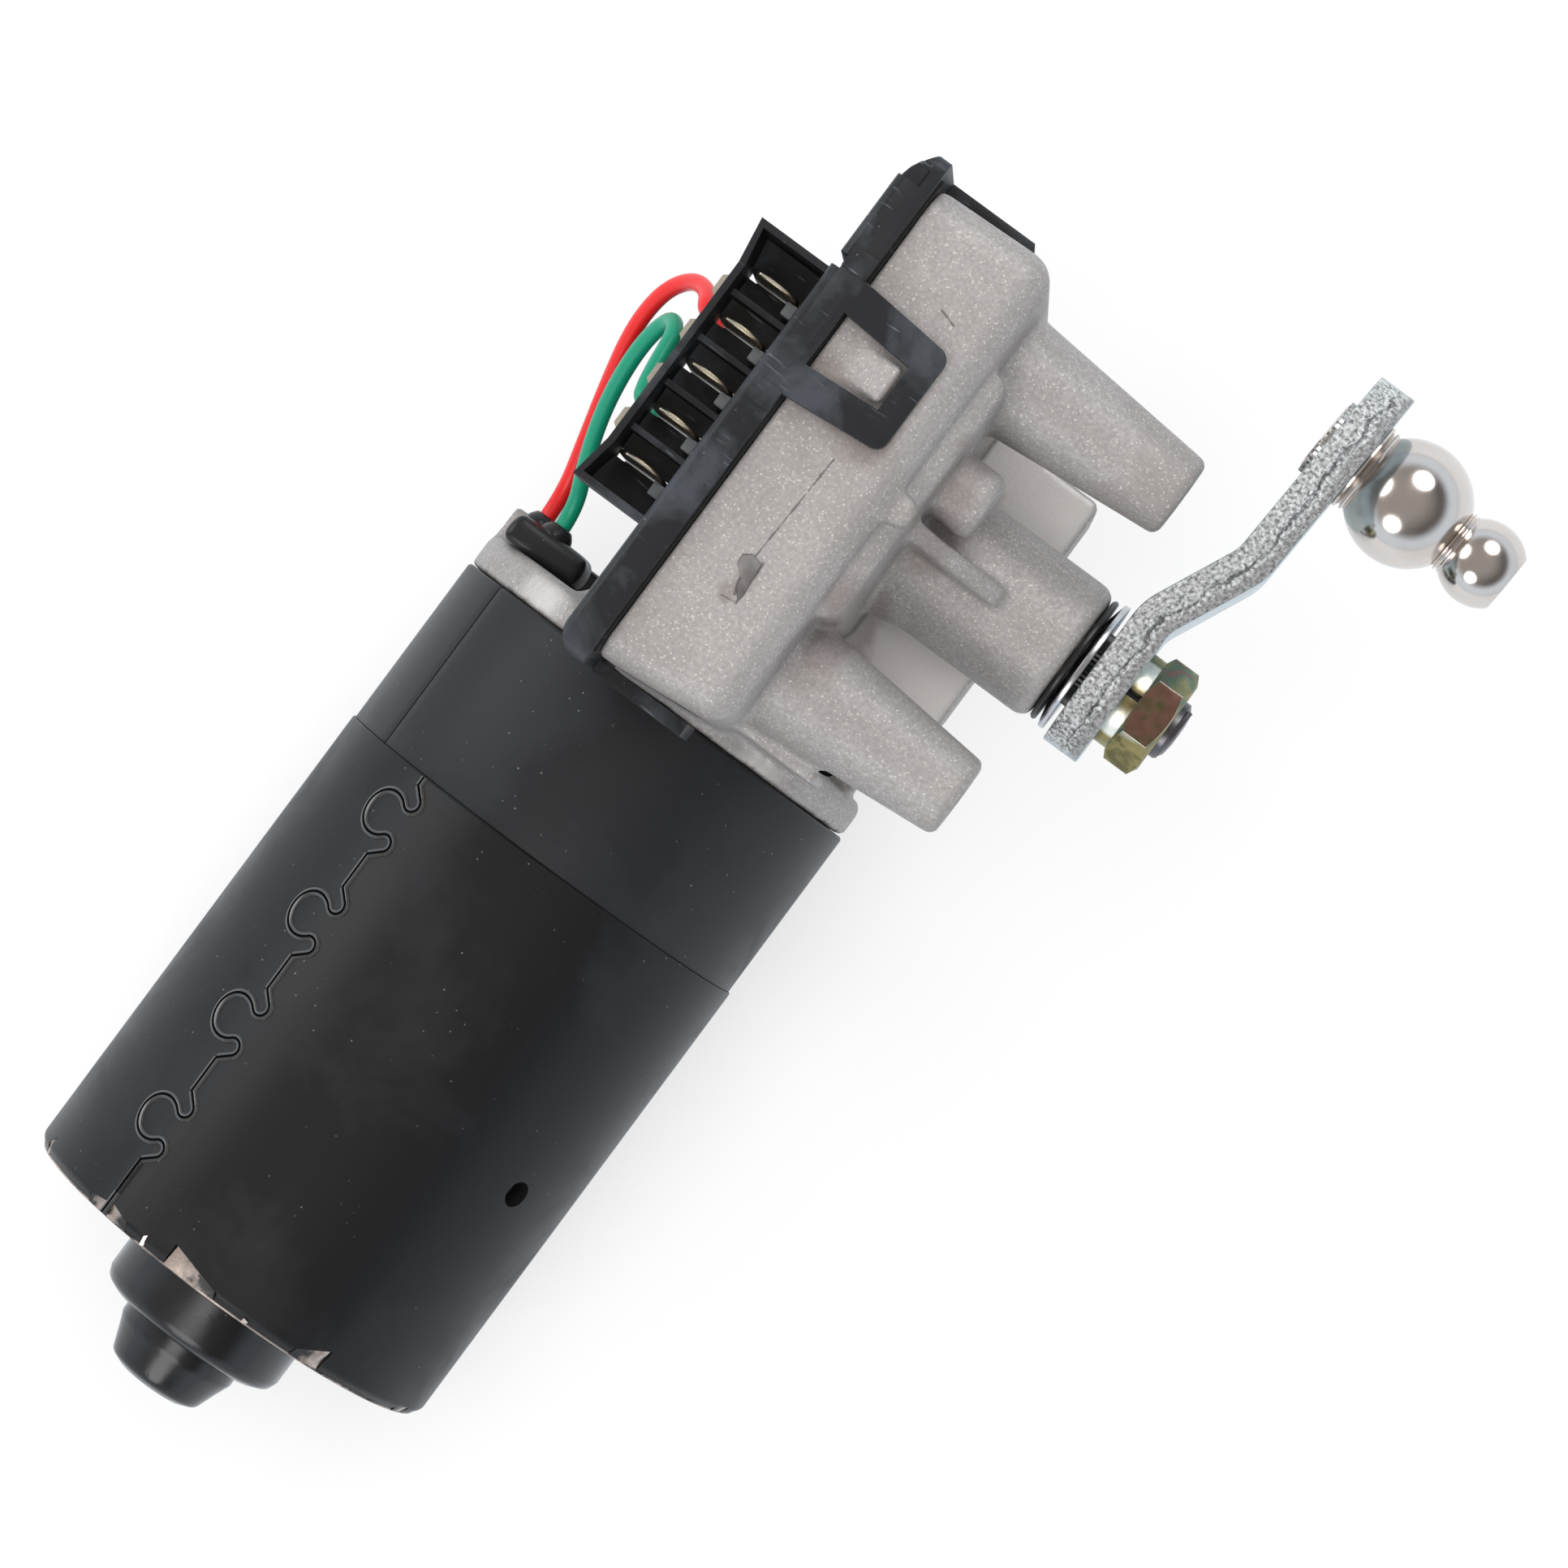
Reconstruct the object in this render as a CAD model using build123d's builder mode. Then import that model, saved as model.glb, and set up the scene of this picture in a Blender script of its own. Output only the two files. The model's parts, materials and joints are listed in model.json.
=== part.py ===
from build123d import *
import math
import os

os.makedirs("parts", exist_ok=True)

# Wiper motor, in millimetres.
# The origin is on the output shaft, in the plane of the mounting boss ends.
# +X runs out along the output shaft, +Y along the armature towards the gearbox, +Z away from the yoke.

# Worm and wheel
wheel_teeth = 50
axial_module = 1.15
pressure_angle = 20.0
backlash = 0.55
wheel_width = 6.0
wheel_hub_r = 9.0
wheel_web = 3.0
wheel_rib_count = 8
wheel_rib_width = 1.6
thread_turns = 6.5
armature_shaft_r = 3.0
worm_pitch_r = armature_shaft_r + 1.25 * axial_module
wheel_pitch_r = wheel_teeth * axial_module / 2
wheel_tip_r = wheel_pitch_r + axial_module
wheel_root_r = wheel_pitch_r - 1.25 * axial_module
worm_tip_r = worm_pitch_r + axial_module
worm_pitch = math.pi * axial_module
worm_lead_angle = math.degrees(math.atan(worm_pitch / (2 * math.pi * worm_pitch_r)))
centre_distance = wheel_pitch_r + worm_pitch_r

# Clearances
running_gap = 0.05
seat_gap = 0.05
body_gap = 0.3
wheel_gap = 1.2

# Motor axis, parallel to Y
motor_x = -40.0
motor_z = -centre_distance
motor_axis = Axis((motor_x, 0, motor_z), (0, 1, 0))
motor_half = Plane(origin=(motor_x, 0, motor_z), x_dir=(1, 0, 0), z_dir=(0, 0, 1))

# Gear housing
housing_wall = 2.5
floor_wall = 3.2
front_x = -26.3
rim_x = -43.6
cavity_r = wheel_tip_r + wheel_gap
half_side = cavity_r + housing_wall + 0.5
bottom_draft = 1.6
top_draft = 0.6
edge_round = 4.0
far_round = 16.0
floor_x = front_x - floor_wall
plateau_height = 2.7
plateau_low_y = -15.0
plateau_high_y = 20.0
plateau_near_z = 29.0

# Mounting bosses
boss_ring_r = 25.85
boss_end_r = 5.4
boss_root_r = 7.6
boss_hole_r = 2.5
boss_hole_depth = 18.0
boss_angles = (30.0, 150.0, 270.0)
stub_y = 7.2
stub_z = 17.0
stub_r = 4.5
stub_height = 9.9

# Output boss and shaft
output_boss_r = 9.5
output_boss_end = 0.4
output_shaft_r = 5.0
bush_r = 7.0
output_bush_length = 10.0
output_stud_r = 4.0
stud_end = 16.5
knurl_r = 4.8
knurl_low = 2.2
knurl_reach = 4.2

# Parking switch
disc_thickness = 0.5
contact_outer_r = 22.0
contact_inner_r = 12.0
park_angle = 200.0
park_notch = 8.0
finger_radii = (13.8, 17.0, 20.2)
finger_width = 1.8
finger_thickness = 0.4
finger_low_z = -5.0
finger_root_z = 17.0
finger_root = 3.0

# Motor flange and tunnel
flange_top = -29.5
flange_step = 0.25
tube_rim = -34.5
tunnel_r = 10.0
tunnel_end = 32.0
tunnel_bore_r = worm_tip_r + 0.55
front_bush_r = 6.5
front_bush_length = 9.0
end_bush_r = 5.0
end_bush_length = 8.0
tip_shaft_r = 2.5
thrust_screw_r = 4.0
seat_depth = 12.0
end_seat_y = 19.0
thrust_slot_width = 1.2
thrust_slot_depth = 1.4

# Flange screws
screw_ring_inset = 6.75
screw_angles = (90.0, -125.0)
screw_shank_r = 2.45
screw_hole_r = 2.7
screw_head_r = 4.4
screw_head_height = 3.6

# Motor tubes
shell_r = 29.75
flange_r = shell_r - flange_step
shell_wall = 2.0
shell_length = 24.5
screw_ring_r = shell_r - screw_ring_inset
tab_length = 8.0
tab_width = 9.0
yoke_step = 0.3
yoke_r = shell_r + yoke_step
yoke_wall = 2.6
yoke_length = 67.5
spigot_length = 6.0
plate_thickness = 1.6
rim_lip = 1.6
rim_chamfer = 1.1
vent_r = 1.8
vent_angle = 54.0
vent_above_rim = 32.0
shell_seam_angle = -49.7
yoke_seam_angle = -30.5
seam_width = 0.4
bulb_r = 2.9
bulb_reach = 5.4
bulb_pitch = 15.7
first_bulb = 13.7
bulb_count = 4
stake_angles = (-64.7, -30.5, -17.4, -5.5, 33.9, 72.0)
stake_width = 3.2
stake_depth = 1.3

# End plate
cap_step_r = 13.15
cap_step_length = 9.4
cap_dome_r = 8.5
cap_tip_r = 5.0
cap_length = 17.0
rear_bush_r = 6.7
rear_bush_length = 7.5

# Magnets and armature
magnet_thickness = 5.9
magnet_length = 50.0
magnet_arc = 140.0
air_gap = 0.7
core_length = 44.0
slot_count = 12
slot_depth = 7.0
slot_width = 3.4
slot_mouth = 1.6
commutator_r = 11.0
commutator_length = 16.0
commutator_bars_count = 12
bar_gap = 0.6

# Brush gear
card_drop = 10.5
card_thickness = 1.6
brush_angles = (0.0, 110.0, 180.0)
brush_width = 6.0
brush_height = 7.0
brush_length = 9.0
box_wall = 0.6
box_stand_off = 1.5
spring_thickness = 0.5

# Cover
gasket_thickness = 0.4
cover_lip = 2.0
cover_wall = 1.8
cover_depth = 4.5
cover_corner_r = 3.6
notch_low_y = 31.6
notch_high_y = 33.8
notch_depth = 3.0
step_low_y = 18.6
step_high_y = 20.4
step_depth = 1.2
corner_depth = 1.6
clip_thickness = 1.8
clip_reach = 13.3
clip_root = 16.4
clip_tip = 13.8
clip_window_root = 7.5
clip_window_tip = 6.1
clip_bar = 3.2
clip_centre_y = 11.0
end_clip_reach = 12.6
end_clip_width = 14.0
rail_lug = 2.8
catch_length = 6.2
catch_width = 5.2
catch_height = 1.9
clip_stand_off = 0.3

# Terminal shroud
shroud_wall = 0.9
shroud_left_x = -58.0
shroud_low_y = -18.7
shroud_high_y = 18.6
shroud_floor_z = 19.0
shroud_mouth_z = 29.0
shroud_flare = 0.9
flare_length = 5.8
blade_pitch = 6.6
blade_count = 5
blade_width = 6.3
blade_thickness = 0.8
blade_x = -53.2
blade_tip_z = 27.0
lug_z = 12.6
blade_foot_z = 8.0
lug_reach = 61.0
lug_width = 4.8
lug_shift = 2.8
divider_height = 5.0

# Crank
crank_width = 20.0
crank_thickness = 5.0
crank_centres = 40.0
crank_back_x = 3.4
crank_joggle = 5.5
crank_joggle_low = 9.5
crank_joggle_high = 21.5
crank_tilt = 3.0
crank_bend_r = 7.0

# Ball stud
ball_r = 8.0
small_ball_r = 5.5
ball_distance = 7.3
ball_spacing = 11.5
collar_r = 6.0
collar_length = 1.5
waist_r = 4.2
stud_hole_r = 5.0
rivet_r = 5.1
rivet_height = 0.9
flat_after_small = 3.9

# Nut, washers and seal
washer_r = 6.4
washer_thickness = 1.8
nut_flats = 13.0
nut_height = 4.7
dish_r = 9.1
dish_thickness = 0.8
seal_r = 8.8

# Leads
lead_r = 1.1
grommet_far_x = -67.0
grommet_near_x = -55.6
grommet_low_z = -27.7
grommet_high_z = -16.7
grommet_height = 4.2


def label_and_write(builder, name):
    """Name a finished piece and write it."""
    builder.part.label = name
    export_step(builder.part, f"parts/{name}.step")


def turned(points, plane, axis, arc=360.0, mode=Mode.ADD):
    """Turn a closed outline of corner points about an axis."""
    with BuildSketch(plane) as outline:
        with BuildLine():
            Polyline(*points, close=True)
        make_face()
    revolve(outline.sketch, axis=axis, revolution_arc=arc, mode=mode)


def across_motor(y):
    """Plane square to the motor axis at height y. Its angles run from +Z towards +X."""
    return Plane(origin=(motor_x, y, motor_z), x_dir=(0, 0, 1), z_dir=(0, 1, 0))


def across_output(x):
    """Plane square to the output shaft at x. Its local axes are Y and Z."""
    return Plane(origin=(x, 0, 0), x_dir=(0, 1, 0), z_dir=(1, 0, 0))


def disc(plane, radius, amount, mode=Mode.ADD):
    """Straight round boss or bore."""
    with BuildSketch(plane) as circle:
        Circle(radius)
    extrude(circle.sketch, amount=amount, mode=mode)


def block(low, high, mode=Mode.ADD):
    """Square block between two corners."""
    size = [high[i] - low[i] for i in range(3)]
    centre = [(high[i] + low[i]) / 2 for i in range(3)]
    with Locations(Pos(*centre)):
        Box(*size, mode=mode)


def rounded_outline(plane, corners, radius, inset=0.0):
    """Closed outline through the corners, each corner rounded, drawn in by an inset."""
    with BuildSketch(plane) as outline:
        with BuildLine():
            Polyline(*corners, close=True)
        make_face()
        fillet(outline.vertices(), radius)
        if inset:
            offset(amount=-inset, mode=Mode.REPLACE)
    return outline.sketch


# Places that several pieces share
catch_end_x = rim_x - gasket_thickness + clip_reach - clip_bar - 0.3
near_wall_z = half_side
front_bush_y = tube_rim + 1.5
worm_seat_y = tube_rim + seat_depth
boss_places = []
for angle in boss_angles:
    place_y = boss_ring_r * math.cos(math.radians(angle))
    place_z = boss_ring_r * math.sin(math.radians(angle))
    boss_places.append((place_y, place_z))

# The cover's outline: wide over the wheel, narrow over the worm, stepped past the flange
cover_near_z = near_wall_z + cover_lip
cover_top_y = half_side + cover_lip
cover_bottom_y = -half_side - cover_lip
flange_step_y = flange_top - 2.9
lobe_low_y = worm_seat_y + 0.8
lobe_high_y = end_seat_y - 0.8
lobe_far_z = motor_z - tunnel_r - cover_lip
neck_z = -cavity_r + 6.4
flange_clear_z = motor_z + flange_r + 1.8


# Gear housing: box for the wheel, tunnel for the worm, flange for the motor tube
with BuildPart() as chamber:
    with BuildSketch(Plane.XY.offset(-half_side)):
        with BuildLine():
            Polyline(
                (rim_x, -half_side),
                (front_x, -half_side + bottom_draft),
                (front_x, half_side),
                (rim_x, half_side - top_draft),
                close=True,
            )
        make_face()
    extrude(amount=half_side + near_wall_z)
    far_edges = chamber.edges().group_by(Axis.Z)[0]
    fillet([edge for edge in far_edges if abs(edge.tangent_at(0.5).X) > 0.9], far_round)
    front_edges = chamber.faces().sort_by(Axis.X)[-1].edges()
    near_edges = chamber.faces().sort_by(Axis.Z)[-1].edges().sort_by(Axis.X)[1:]
    fillet(front_edges + near_edges, edge_round)

with BuildPart() as plateau:
    block(
        (front_x - 2, plateau_low_y, -10),
        (front_x + plateau_height, plateau_high_y, plateau_near_z),
    )
    fillet(plateau.faces().sort_by(Axis.X)[-1].edges(), 2.0)

with BuildPart() as web_pad:
    with BuildSketch(across_output(front_x - 2)):
        with BuildLine():
            Polyline((-18.5, -9), (18.5, -9), (17, -22), (-17, -22), close=True)
        make_face()
    extrude(amount=-8 - front_x + 2, taper=1.5)
    fillet(web_pad.faces().sort_by(Axis.X)[-1].edges(), 1.2)

with BuildPart() as stub:
    disc(Plane(origin=(front_x - 1, stub_y, stub_z), z_dir=(1, 0, 0)), stub_r, stub_height)
    fillet(stub.faces().sort_by(Axis.X)[-1].edges(), 1.6)

with BuildPart() as gear_housing:
    add(chamber.part)
    add(plateau.part)
    add(web_pad.part)
    add(stub.part)
    # tunnel round the worm, with a straight sided trough up to the rim
    disc(across_motor(tube_rim), tunnel_r, tunnel_end - tube_rim)
    with BuildSketch(across_motor(tube_rim)):
        with BuildLine():
            Polyline(
                (-tunnel_r, rim_x - motor_x),
                (tunnel_r, rim_x - motor_x),
                (tunnel_r, 0),
                (-tunnel_r, 0),
                close=True,
            )
        make_face()
    extrude(amount=tunnel_end - tube_rim)
    # flange with a flared neck
    turned(
        [
            (0, tube_rim), (flange_r, tube_rim), (flange_r, flange_top - 1), (flange_r - 1, flange_top),
            (16.5, flange_top), (14.6, flange_top + 2.6), (12.2, flange_top + 6.6),
            (tunnel_r, flange_top + 12), (0, flange_top + 12),
        ],
        motor_half,
        motor_axis,
    )
    # gusset between the chamber's lower front corner and the flange
    with BuildSketch(Plane.XY.offset(-12)):
        with BuildLine():
            Polyline(
                (front_x - 3, -half_side + 6), (front_x, -half_side + 6), (front_x + 11, flange_top - 0.5),
                (front_x + 11, flange_top - 2), (front_x - 3, flange_top - 2), close=True,
            )
        make_face()
    extrude(amount=24)
    # mounting bosses
    for place_y, place_z in boss_places:
        boss_plane = Plane(origin=(0, place_y, place_z), x_dir=(1, 0, 0), z_dir=(0, 0, 1))
        turned(
            [
                (front_x - 2, 0), (front_x - 2, boss_root_r), (front_x + 1, boss_root_r),
                (-0.6, boss_end_r), (0, boss_end_r - 0.6), (0, 0),
            ],
            boss_plane,
            Axis((0, place_y, place_z), (1, 0, 0)),
        )
    # output boss
    turned(
        [
            (floor_x + 0.5, 0), (floor_x + 0.5, 11.5), (front_x + 2, 10.6), (front_x + 8, output_boss_r),
            (output_boss_end - 1.6, output_boss_r), (output_boss_end - 0.5, output_boss_r - 0.5),
            (output_boss_end, output_boss_r - 1.6), (output_boss_end, 0),
        ],
        Plane.XY,
        Axis.X,
    )
    # rib on the near side of the output boss
    with BuildSketch(Plane.XZ):
        with BuildLine():
            Polyline(
                (front_x - 1, 5), (front_x - 1, 24), (front_x + plateau_height, 23), (-10.5, 11), (-9, 5),
                close=True,
            )
        make_face()
    extrude(amount=1.25, both=True)
    # gussets from the box to the upper and lower near bosses
    for side in (-1, 1):
        with BuildSketch(Plane.XY.offset(boss_places[0][1] + 2)):
            with BuildLine():
                Polyline(
                    (front_x - 3, side * 20), (front_x - 3, side * (half_side - 4)),
                    (front_x + 0.6, side * (half_side - 5.5)), (front_x + 7.5, side * 27.8),
                    (front_x + 7.5, side * 20),
                    close=True,
                )
            make_face()
        extrude(amount=1.2, both=True)
    # ejector pip on the plateau
    disc(Plane(origin=(front_x + 1.1, 0.4, 20), z_dir=(0, 0, 1)), 1.95, plateau_near_z + 2.3 - 20)
    # catch for the near clip
    with BuildSketch(Plane.XZ.offset(-clip_centre_y)):
        with BuildLine():
            Polyline(
                (catch_end_x - catch_length, near_wall_z - 1),
                (catch_end_x - catch_length, near_wall_z + 0.2),
                (catch_end_x - 0.4, near_wall_z + catch_height),
                (catch_end_x, near_wall_z + catch_height - 0.5),
                (catch_end_x, near_wall_z - 1), close=True,
            )
        make_face()
    extrude(amount=catch_width / 2, both=True)
    # screw lugs on the flange
    block((motor_x + 24.5, flange_top - 2, motor_z + 5), (motor_x + 27.8, flange_top + 4.3, motor_z + 9))
    block((motor_x - 29.0, flange_top - 2, motor_z - 3), (motor_x - 26.2, flange_top + 4.5, motor_z + 4))

    # wheel cavity
    disc(across_output(rim_x - 20), cavity_r, floor_x - rim_x + 20, mode=Mode.SUBTRACT)
    # trough open to the cover, between the two bush seats
    disc(across_motor(worm_seat_y), tunnel_bore_r, end_seat_y - worm_seat_y, mode=Mode.SUBTRACT)
    block(
        (motor_x - 20, worm_seat_y, motor_z - tunnel_bore_r),
        (motor_x, end_seat_y, motor_z + tunnel_r + 4),
        mode=Mode.SUBTRACT,
    )
    # trim to the cover's outline, outside the bush seats
    block(
        (rim_x - 6.6, worm_seat_y, motor_z - tunnel_r - 1),
        (rim_x, end_seat_y, near_wall_z + 5),
        mode=Mode.SUBTRACT,
    )
    block(
        (rim_x - 6.6, flange_step_y - body_gap, neck_z - body_gap),
        (rim_x, half_side + 5, near_wall_z + 5),
        mode=Mode.SUBTRACT,
    )
    # bush seats
    front_seat = front_bush_y + front_bush_length - tube_rim
    disc(across_motor(tube_rim), front_bush_r + seat_gap, front_seat, mode=Mode.SUBTRACT)
    disc(across_motor(tube_rim), tunnel_bore_r, seat_depth + 1, mode=Mode.SUBTRACT)
    disc(across_motor(end_seat_y), end_bush_r + seat_gap, end_bush_length, mode=Mode.SUBTRACT)
    disc(across_motor(end_seat_y), thrust_screw_r + seat_gap, tunnel_end, mode=Mode.SUBTRACT)
    # shaft bore
    disc(across_output(floor_x - 5), bush_r + seat_gap, output_boss_end - floor_x + 10, mode=Mode.SUBTRACT)
    # screw holes in the boss ends
    for place_y, place_z in boss_places:
        boss_end_plane = Plane(origin=(0, place_y, place_z), z_dir=(-1, 0, 0))
        disc(boss_end_plane, boss_hole_r, boss_hole_depth, mode=Mode.SUBTRACT)
    # flange screw holes and the lead hole
    with BuildSketch(across_motor(tube_rim - 1)):
        for angle in screw_angles:
            with PolarLocations(screw_ring_r, 1, start_angle=angle):
                Circle(screw_hole_r)
    extrude(amount=10, mode=Mode.SUBTRACT)
label_and_write(gear_housing, "gear_housing")


# Cover with its rail, skirt, clips and terminal shroud
cover_outline = [
    (cover_bottom_y, cover_near_z), (cover_top_y, cover_near_z), (cover_top_y, neck_z),
    (lobe_high_y, neck_z),
    (lobe_high_y, lobe_far_z), (lobe_low_y, lobe_far_z), (lobe_low_y, neck_z), (flange_step_y, neck_z),
    (flange_step_y, flange_clear_z), (cover_bottom_y, flange_clear_z),
]
cover_rim_x = rim_x - gasket_thickness
cover_face_x = cover_rim_x - cover_depth

with BuildPart() as cover_shell:
    extrude(rounded_outline(across_output(cover_rim_x), cover_outline, 1.5), amount=-cover_depth)
    fillet(cover_shell.faces().sort_by(Axis.X)[0].edges(), 1.2)
    extrude(
        rounded_outline(across_output(cover_rim_x), cover_outline, 1.5, cover_lip + housing_wall + 0.3),
        amount=-(cover_depth - cover_wall),
        mode=Mode.SUBTRACT,
    )

clip_end_x = cover_rim_x + clip_reach
window_end_x = clip_end_x - clip_bar
with BuildPart() as near_clip:
    with BuildSketch(Plane.XY.offset(near_wall_z + clip_stand_off)):
        with BuildLine():
            Polyline(
                (cover_rim_x - 1, clip_centre_y - clip_root / 2), (clip_end_x, clip_centre_y - clip_tip / 2),
                (clip_end_x, clip_centre_y + clip_tip / 2), (cover_rim_x - 1, clip_centre_y + clip_root / 2),
                close=True,
            )
        make_face()
    extrude(amount=clip_thickness)
    fillet(near_clip.edges().filter_by(Axis.Z).sort_by(Axis.X)[2:], 1.6)
    with BuildSketch(Plane.XY.offset(near_wall_z)):
        with BuildLine():
            Polyline(
                (cover_rim_x + 0.2, clip_centre_y - clip_window_root / 2),
                (window_end_x, clip_centre_y - clip_window_tip / 2),
                (window_end_x, clip_centre_y + clip_window_tip / 2),
                (cover_rim_x + 0.2, clip_centre_y + clip_window_root / 2), close=True,
            )
        make_face()
    extrude(amount=5, mode=Mode.SUBTRACT)

shroud_right_x = cover_face_x + cover_wall
with BuildPart() as shroud:
    block(
        (shroud_left_x, shroud_low_y, shroud_floor_z - 1.5), (shroud_right_x, shroud_high_y, shroud_mouth_z)
    )
    block(
        (shroud_left_x + shroud_wall, shroud_low_y + shroud_wall, shroud_floor_z),
        (shroud_right_x - shroud_wall, shroud_high_y - shroud_wall, shroud_mouth_z + 1),
        mode=Mode.SUBTRACT,
    )
    # flare at both ends of the far wall
    flare_x = shroud_left_x - shroud_flare
    inner_x = shroud_left_x + shroud_wall
    for end_y, way in ((shroud_low_y, 1), (shroud_high_y, -1)):
        root_y = end_y + way * flare_length
        wall_y = end_y + way * shroud_wall
        with BuildSketch(Plane.XY.offset(shroud_floor_z - 1.5)) as flare:
            with BuildLine():
                Polyline(
                    (flare_x, end_y), (shroud_left_x, root_y), (inner_x, root_y), (inner_x, end_y),
                    close=True,
                )
            make_face()
        extrude(flare.sketch, amount=shroud_mouth_z - shroud_floor_z + 1.5)
        with BuildSketch(Plane.XY.offset(shroud_floor_z)) as flare_hollow:
            with BuildLine():
                Polyline(
                    (flare_x + shroud_wall, wall_y), (inner_x, root_y), (inner_x + 0.1, root_y),
                    (inner_x + 0.1, wall_y), close=True,
                )
            make_face()
        extrude(flare_hollow.sketch, amount=shroud_mouth_z - shroud_floor_z + 1, mode=Mode.SUBTRACT)
    # low walls between the cells
    for cell in range(blade_count - 1):
        wall_y = (cell - (blade_count - 2) / 2) * blade_pitch
        block(
            (shroud_left_x, wall_y - 0.4, shroud_floor_z - 1),
            (shroud_right_x, wall_y + 0.4, shroud_floor_z + divider_height),
        )

with BuildPart() as cover:
    add(cover_shell.part)
    # wide round on the lower corner of the outer face
    with BuildSketch(Plane.XY.offset(-half_side - 20)) as corner_trim:
        with BuildLine():
            Polyline(
                (cover_face_x - 1, cover_bottom_y + cover_corner_r), (cover_face_x - 1, cover_bottom_y - 1),
                (cover_face_x + cover_corner_r, cover_bottom_y - 1),
                (cover_face_x + cover_corner_r, cover_bottom_y + cover_corner_r), close=True,
            )
        make_face()
        with Locations((cover_face_x + cover_corner_r, cover_bottom_y + cover_corner_r)):
            Circle(cover_corner_r, mode=Mode.SUBTRACT)
    extrude(corner_trim.sketch, amount=2 * half_side + 30, mode=Mode.SUBTRACT)
    # notches each side of the raised end of the outer face
    for low_y, high_y, low_z, depth in (
        (notch_low_y, notch_high_y, neck_z - 5, notch_depth),
        (step_low_y, step_high_y, shroud_floor_z - 1.5, step_depth),
        (notch_high_y, cover_top_y + 1, neck_z - 5, corner_depth),
    ):
        block(
            (cover_face_x - 1, low_y, low_z), (cover_face_x + depth, high_y, cover_near_z + 1),
            mode=Mode.SUBTRACT,
        )
    add(near_clip.part)
    # lugs of the rail each side of the near clip
    for side in (-1, 1):
        lug_y = clip_centre_y + side * (clip_root / 2 + 1.2)
        block(
            (cover_face_x + step_depth, lug_y - rail_lug / 2, near_wall_z - 1),
            (cover_rim_x, lug_y + rail_lug / 2, cover_near_z + 0.8),
        )
    # end clips on the upper and lower walls, each with a window
    for side, low_z in ((1, 4.0), (-1, 6.0)):
        near_y = side * (half_side + clip_stand_off)
        walls = sorted((near_y, near_y + side * clip_thickness))
        block((cover_rim_x - 1, walls[0], low_z), (rim_x + end_clip_reach, walls[1], low_z + end_clip_width))
        block(
            (rim_x + 1.5, walls[0] - 1, low_z + clip_bar),
            (rim_x + end_clip_reach - clip_bar, walls[1] + 1, low_z + end_clip_width - clip_bar),
            mode=Mode.SUBTRACT,
        )
    # shroud
    add(shroud.part)
    for cell in range(blade_count):
        cell_y = (cell - (blade_count - 1) / 2) * blade_pitch
        # blade slot, longer than the blade so that light shows past its end
        block(
            (blade_x - blade_width / 2 - 0.05, cell_y - blade_thickness / 2 - 0.05, shroud_floor_z - 3),
            (blade_x + blade_width / 2 + 0.05, cell_y + blade_thickness / 2 + 0.05, shroud_floor_z + 1),
            mode=Mode.SUBTRACT,
        )
        block(
            (shroud_left_x + shroud_wall, cell_y - 0.6, shroud_floor_z - 3),
            (blade_x - blade_width / 2 + 0.5, cell_y + 0.6, shroud_floor_z + 1),
            mode=Mode.SUBTRACT,
        )
label_and_write(cover, "cover")

# Gasket between the rim and the cover
with BuildPart() as gasket:
    gasket_outer = rounded_outline(across_output(rim_x), cover_outline, 1.5, cover_lip + 0.1)
    extrude(gasket_outer, amount=-gasket_thickness)
    extrude(
        rounded_outline(across_output(rim_x), cover_outline, 1.5, cover_lip + housing_wall + 0.3),
        amount=-gasket_thickness,
        mode=Mode.SUBTRACT,
    )
label_and_write(gasket, "gasket")

# Five blades with solder lugs behind the shroud
with BuildPart() as terminal_blades:
    for cell in range(blade_count):
        cell_y = (cell - (blade_count - 1) / 2) * blade_pitch
        with BuildPart(mode=Mode.PRIVATE) as blade:
            block(
                (blade_x - blade_width / 2, cell_y - blade_thickness / 2, blade_foot_z),
                (blade_x + blade_width / 2, cell_y + blade_thickness / 2, blade_tip_z),
            )
            chamfer(blade.faces().sort_by(Axis.Z)[-1].edges().filter_by(Axis.X), 0.25)
            if cell > 0:
                block(
                    (-lug_reach, cell_y - lug_shift - lug_width / 2, lug_z),
                    (blade_x + blade_width / 2, cell_y - lug_shift + lug_width / 2, lug_z + blade_thickness),
                )
        add(blade.part)
label_and_write(terminal_blades, "terminal_blades")

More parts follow.
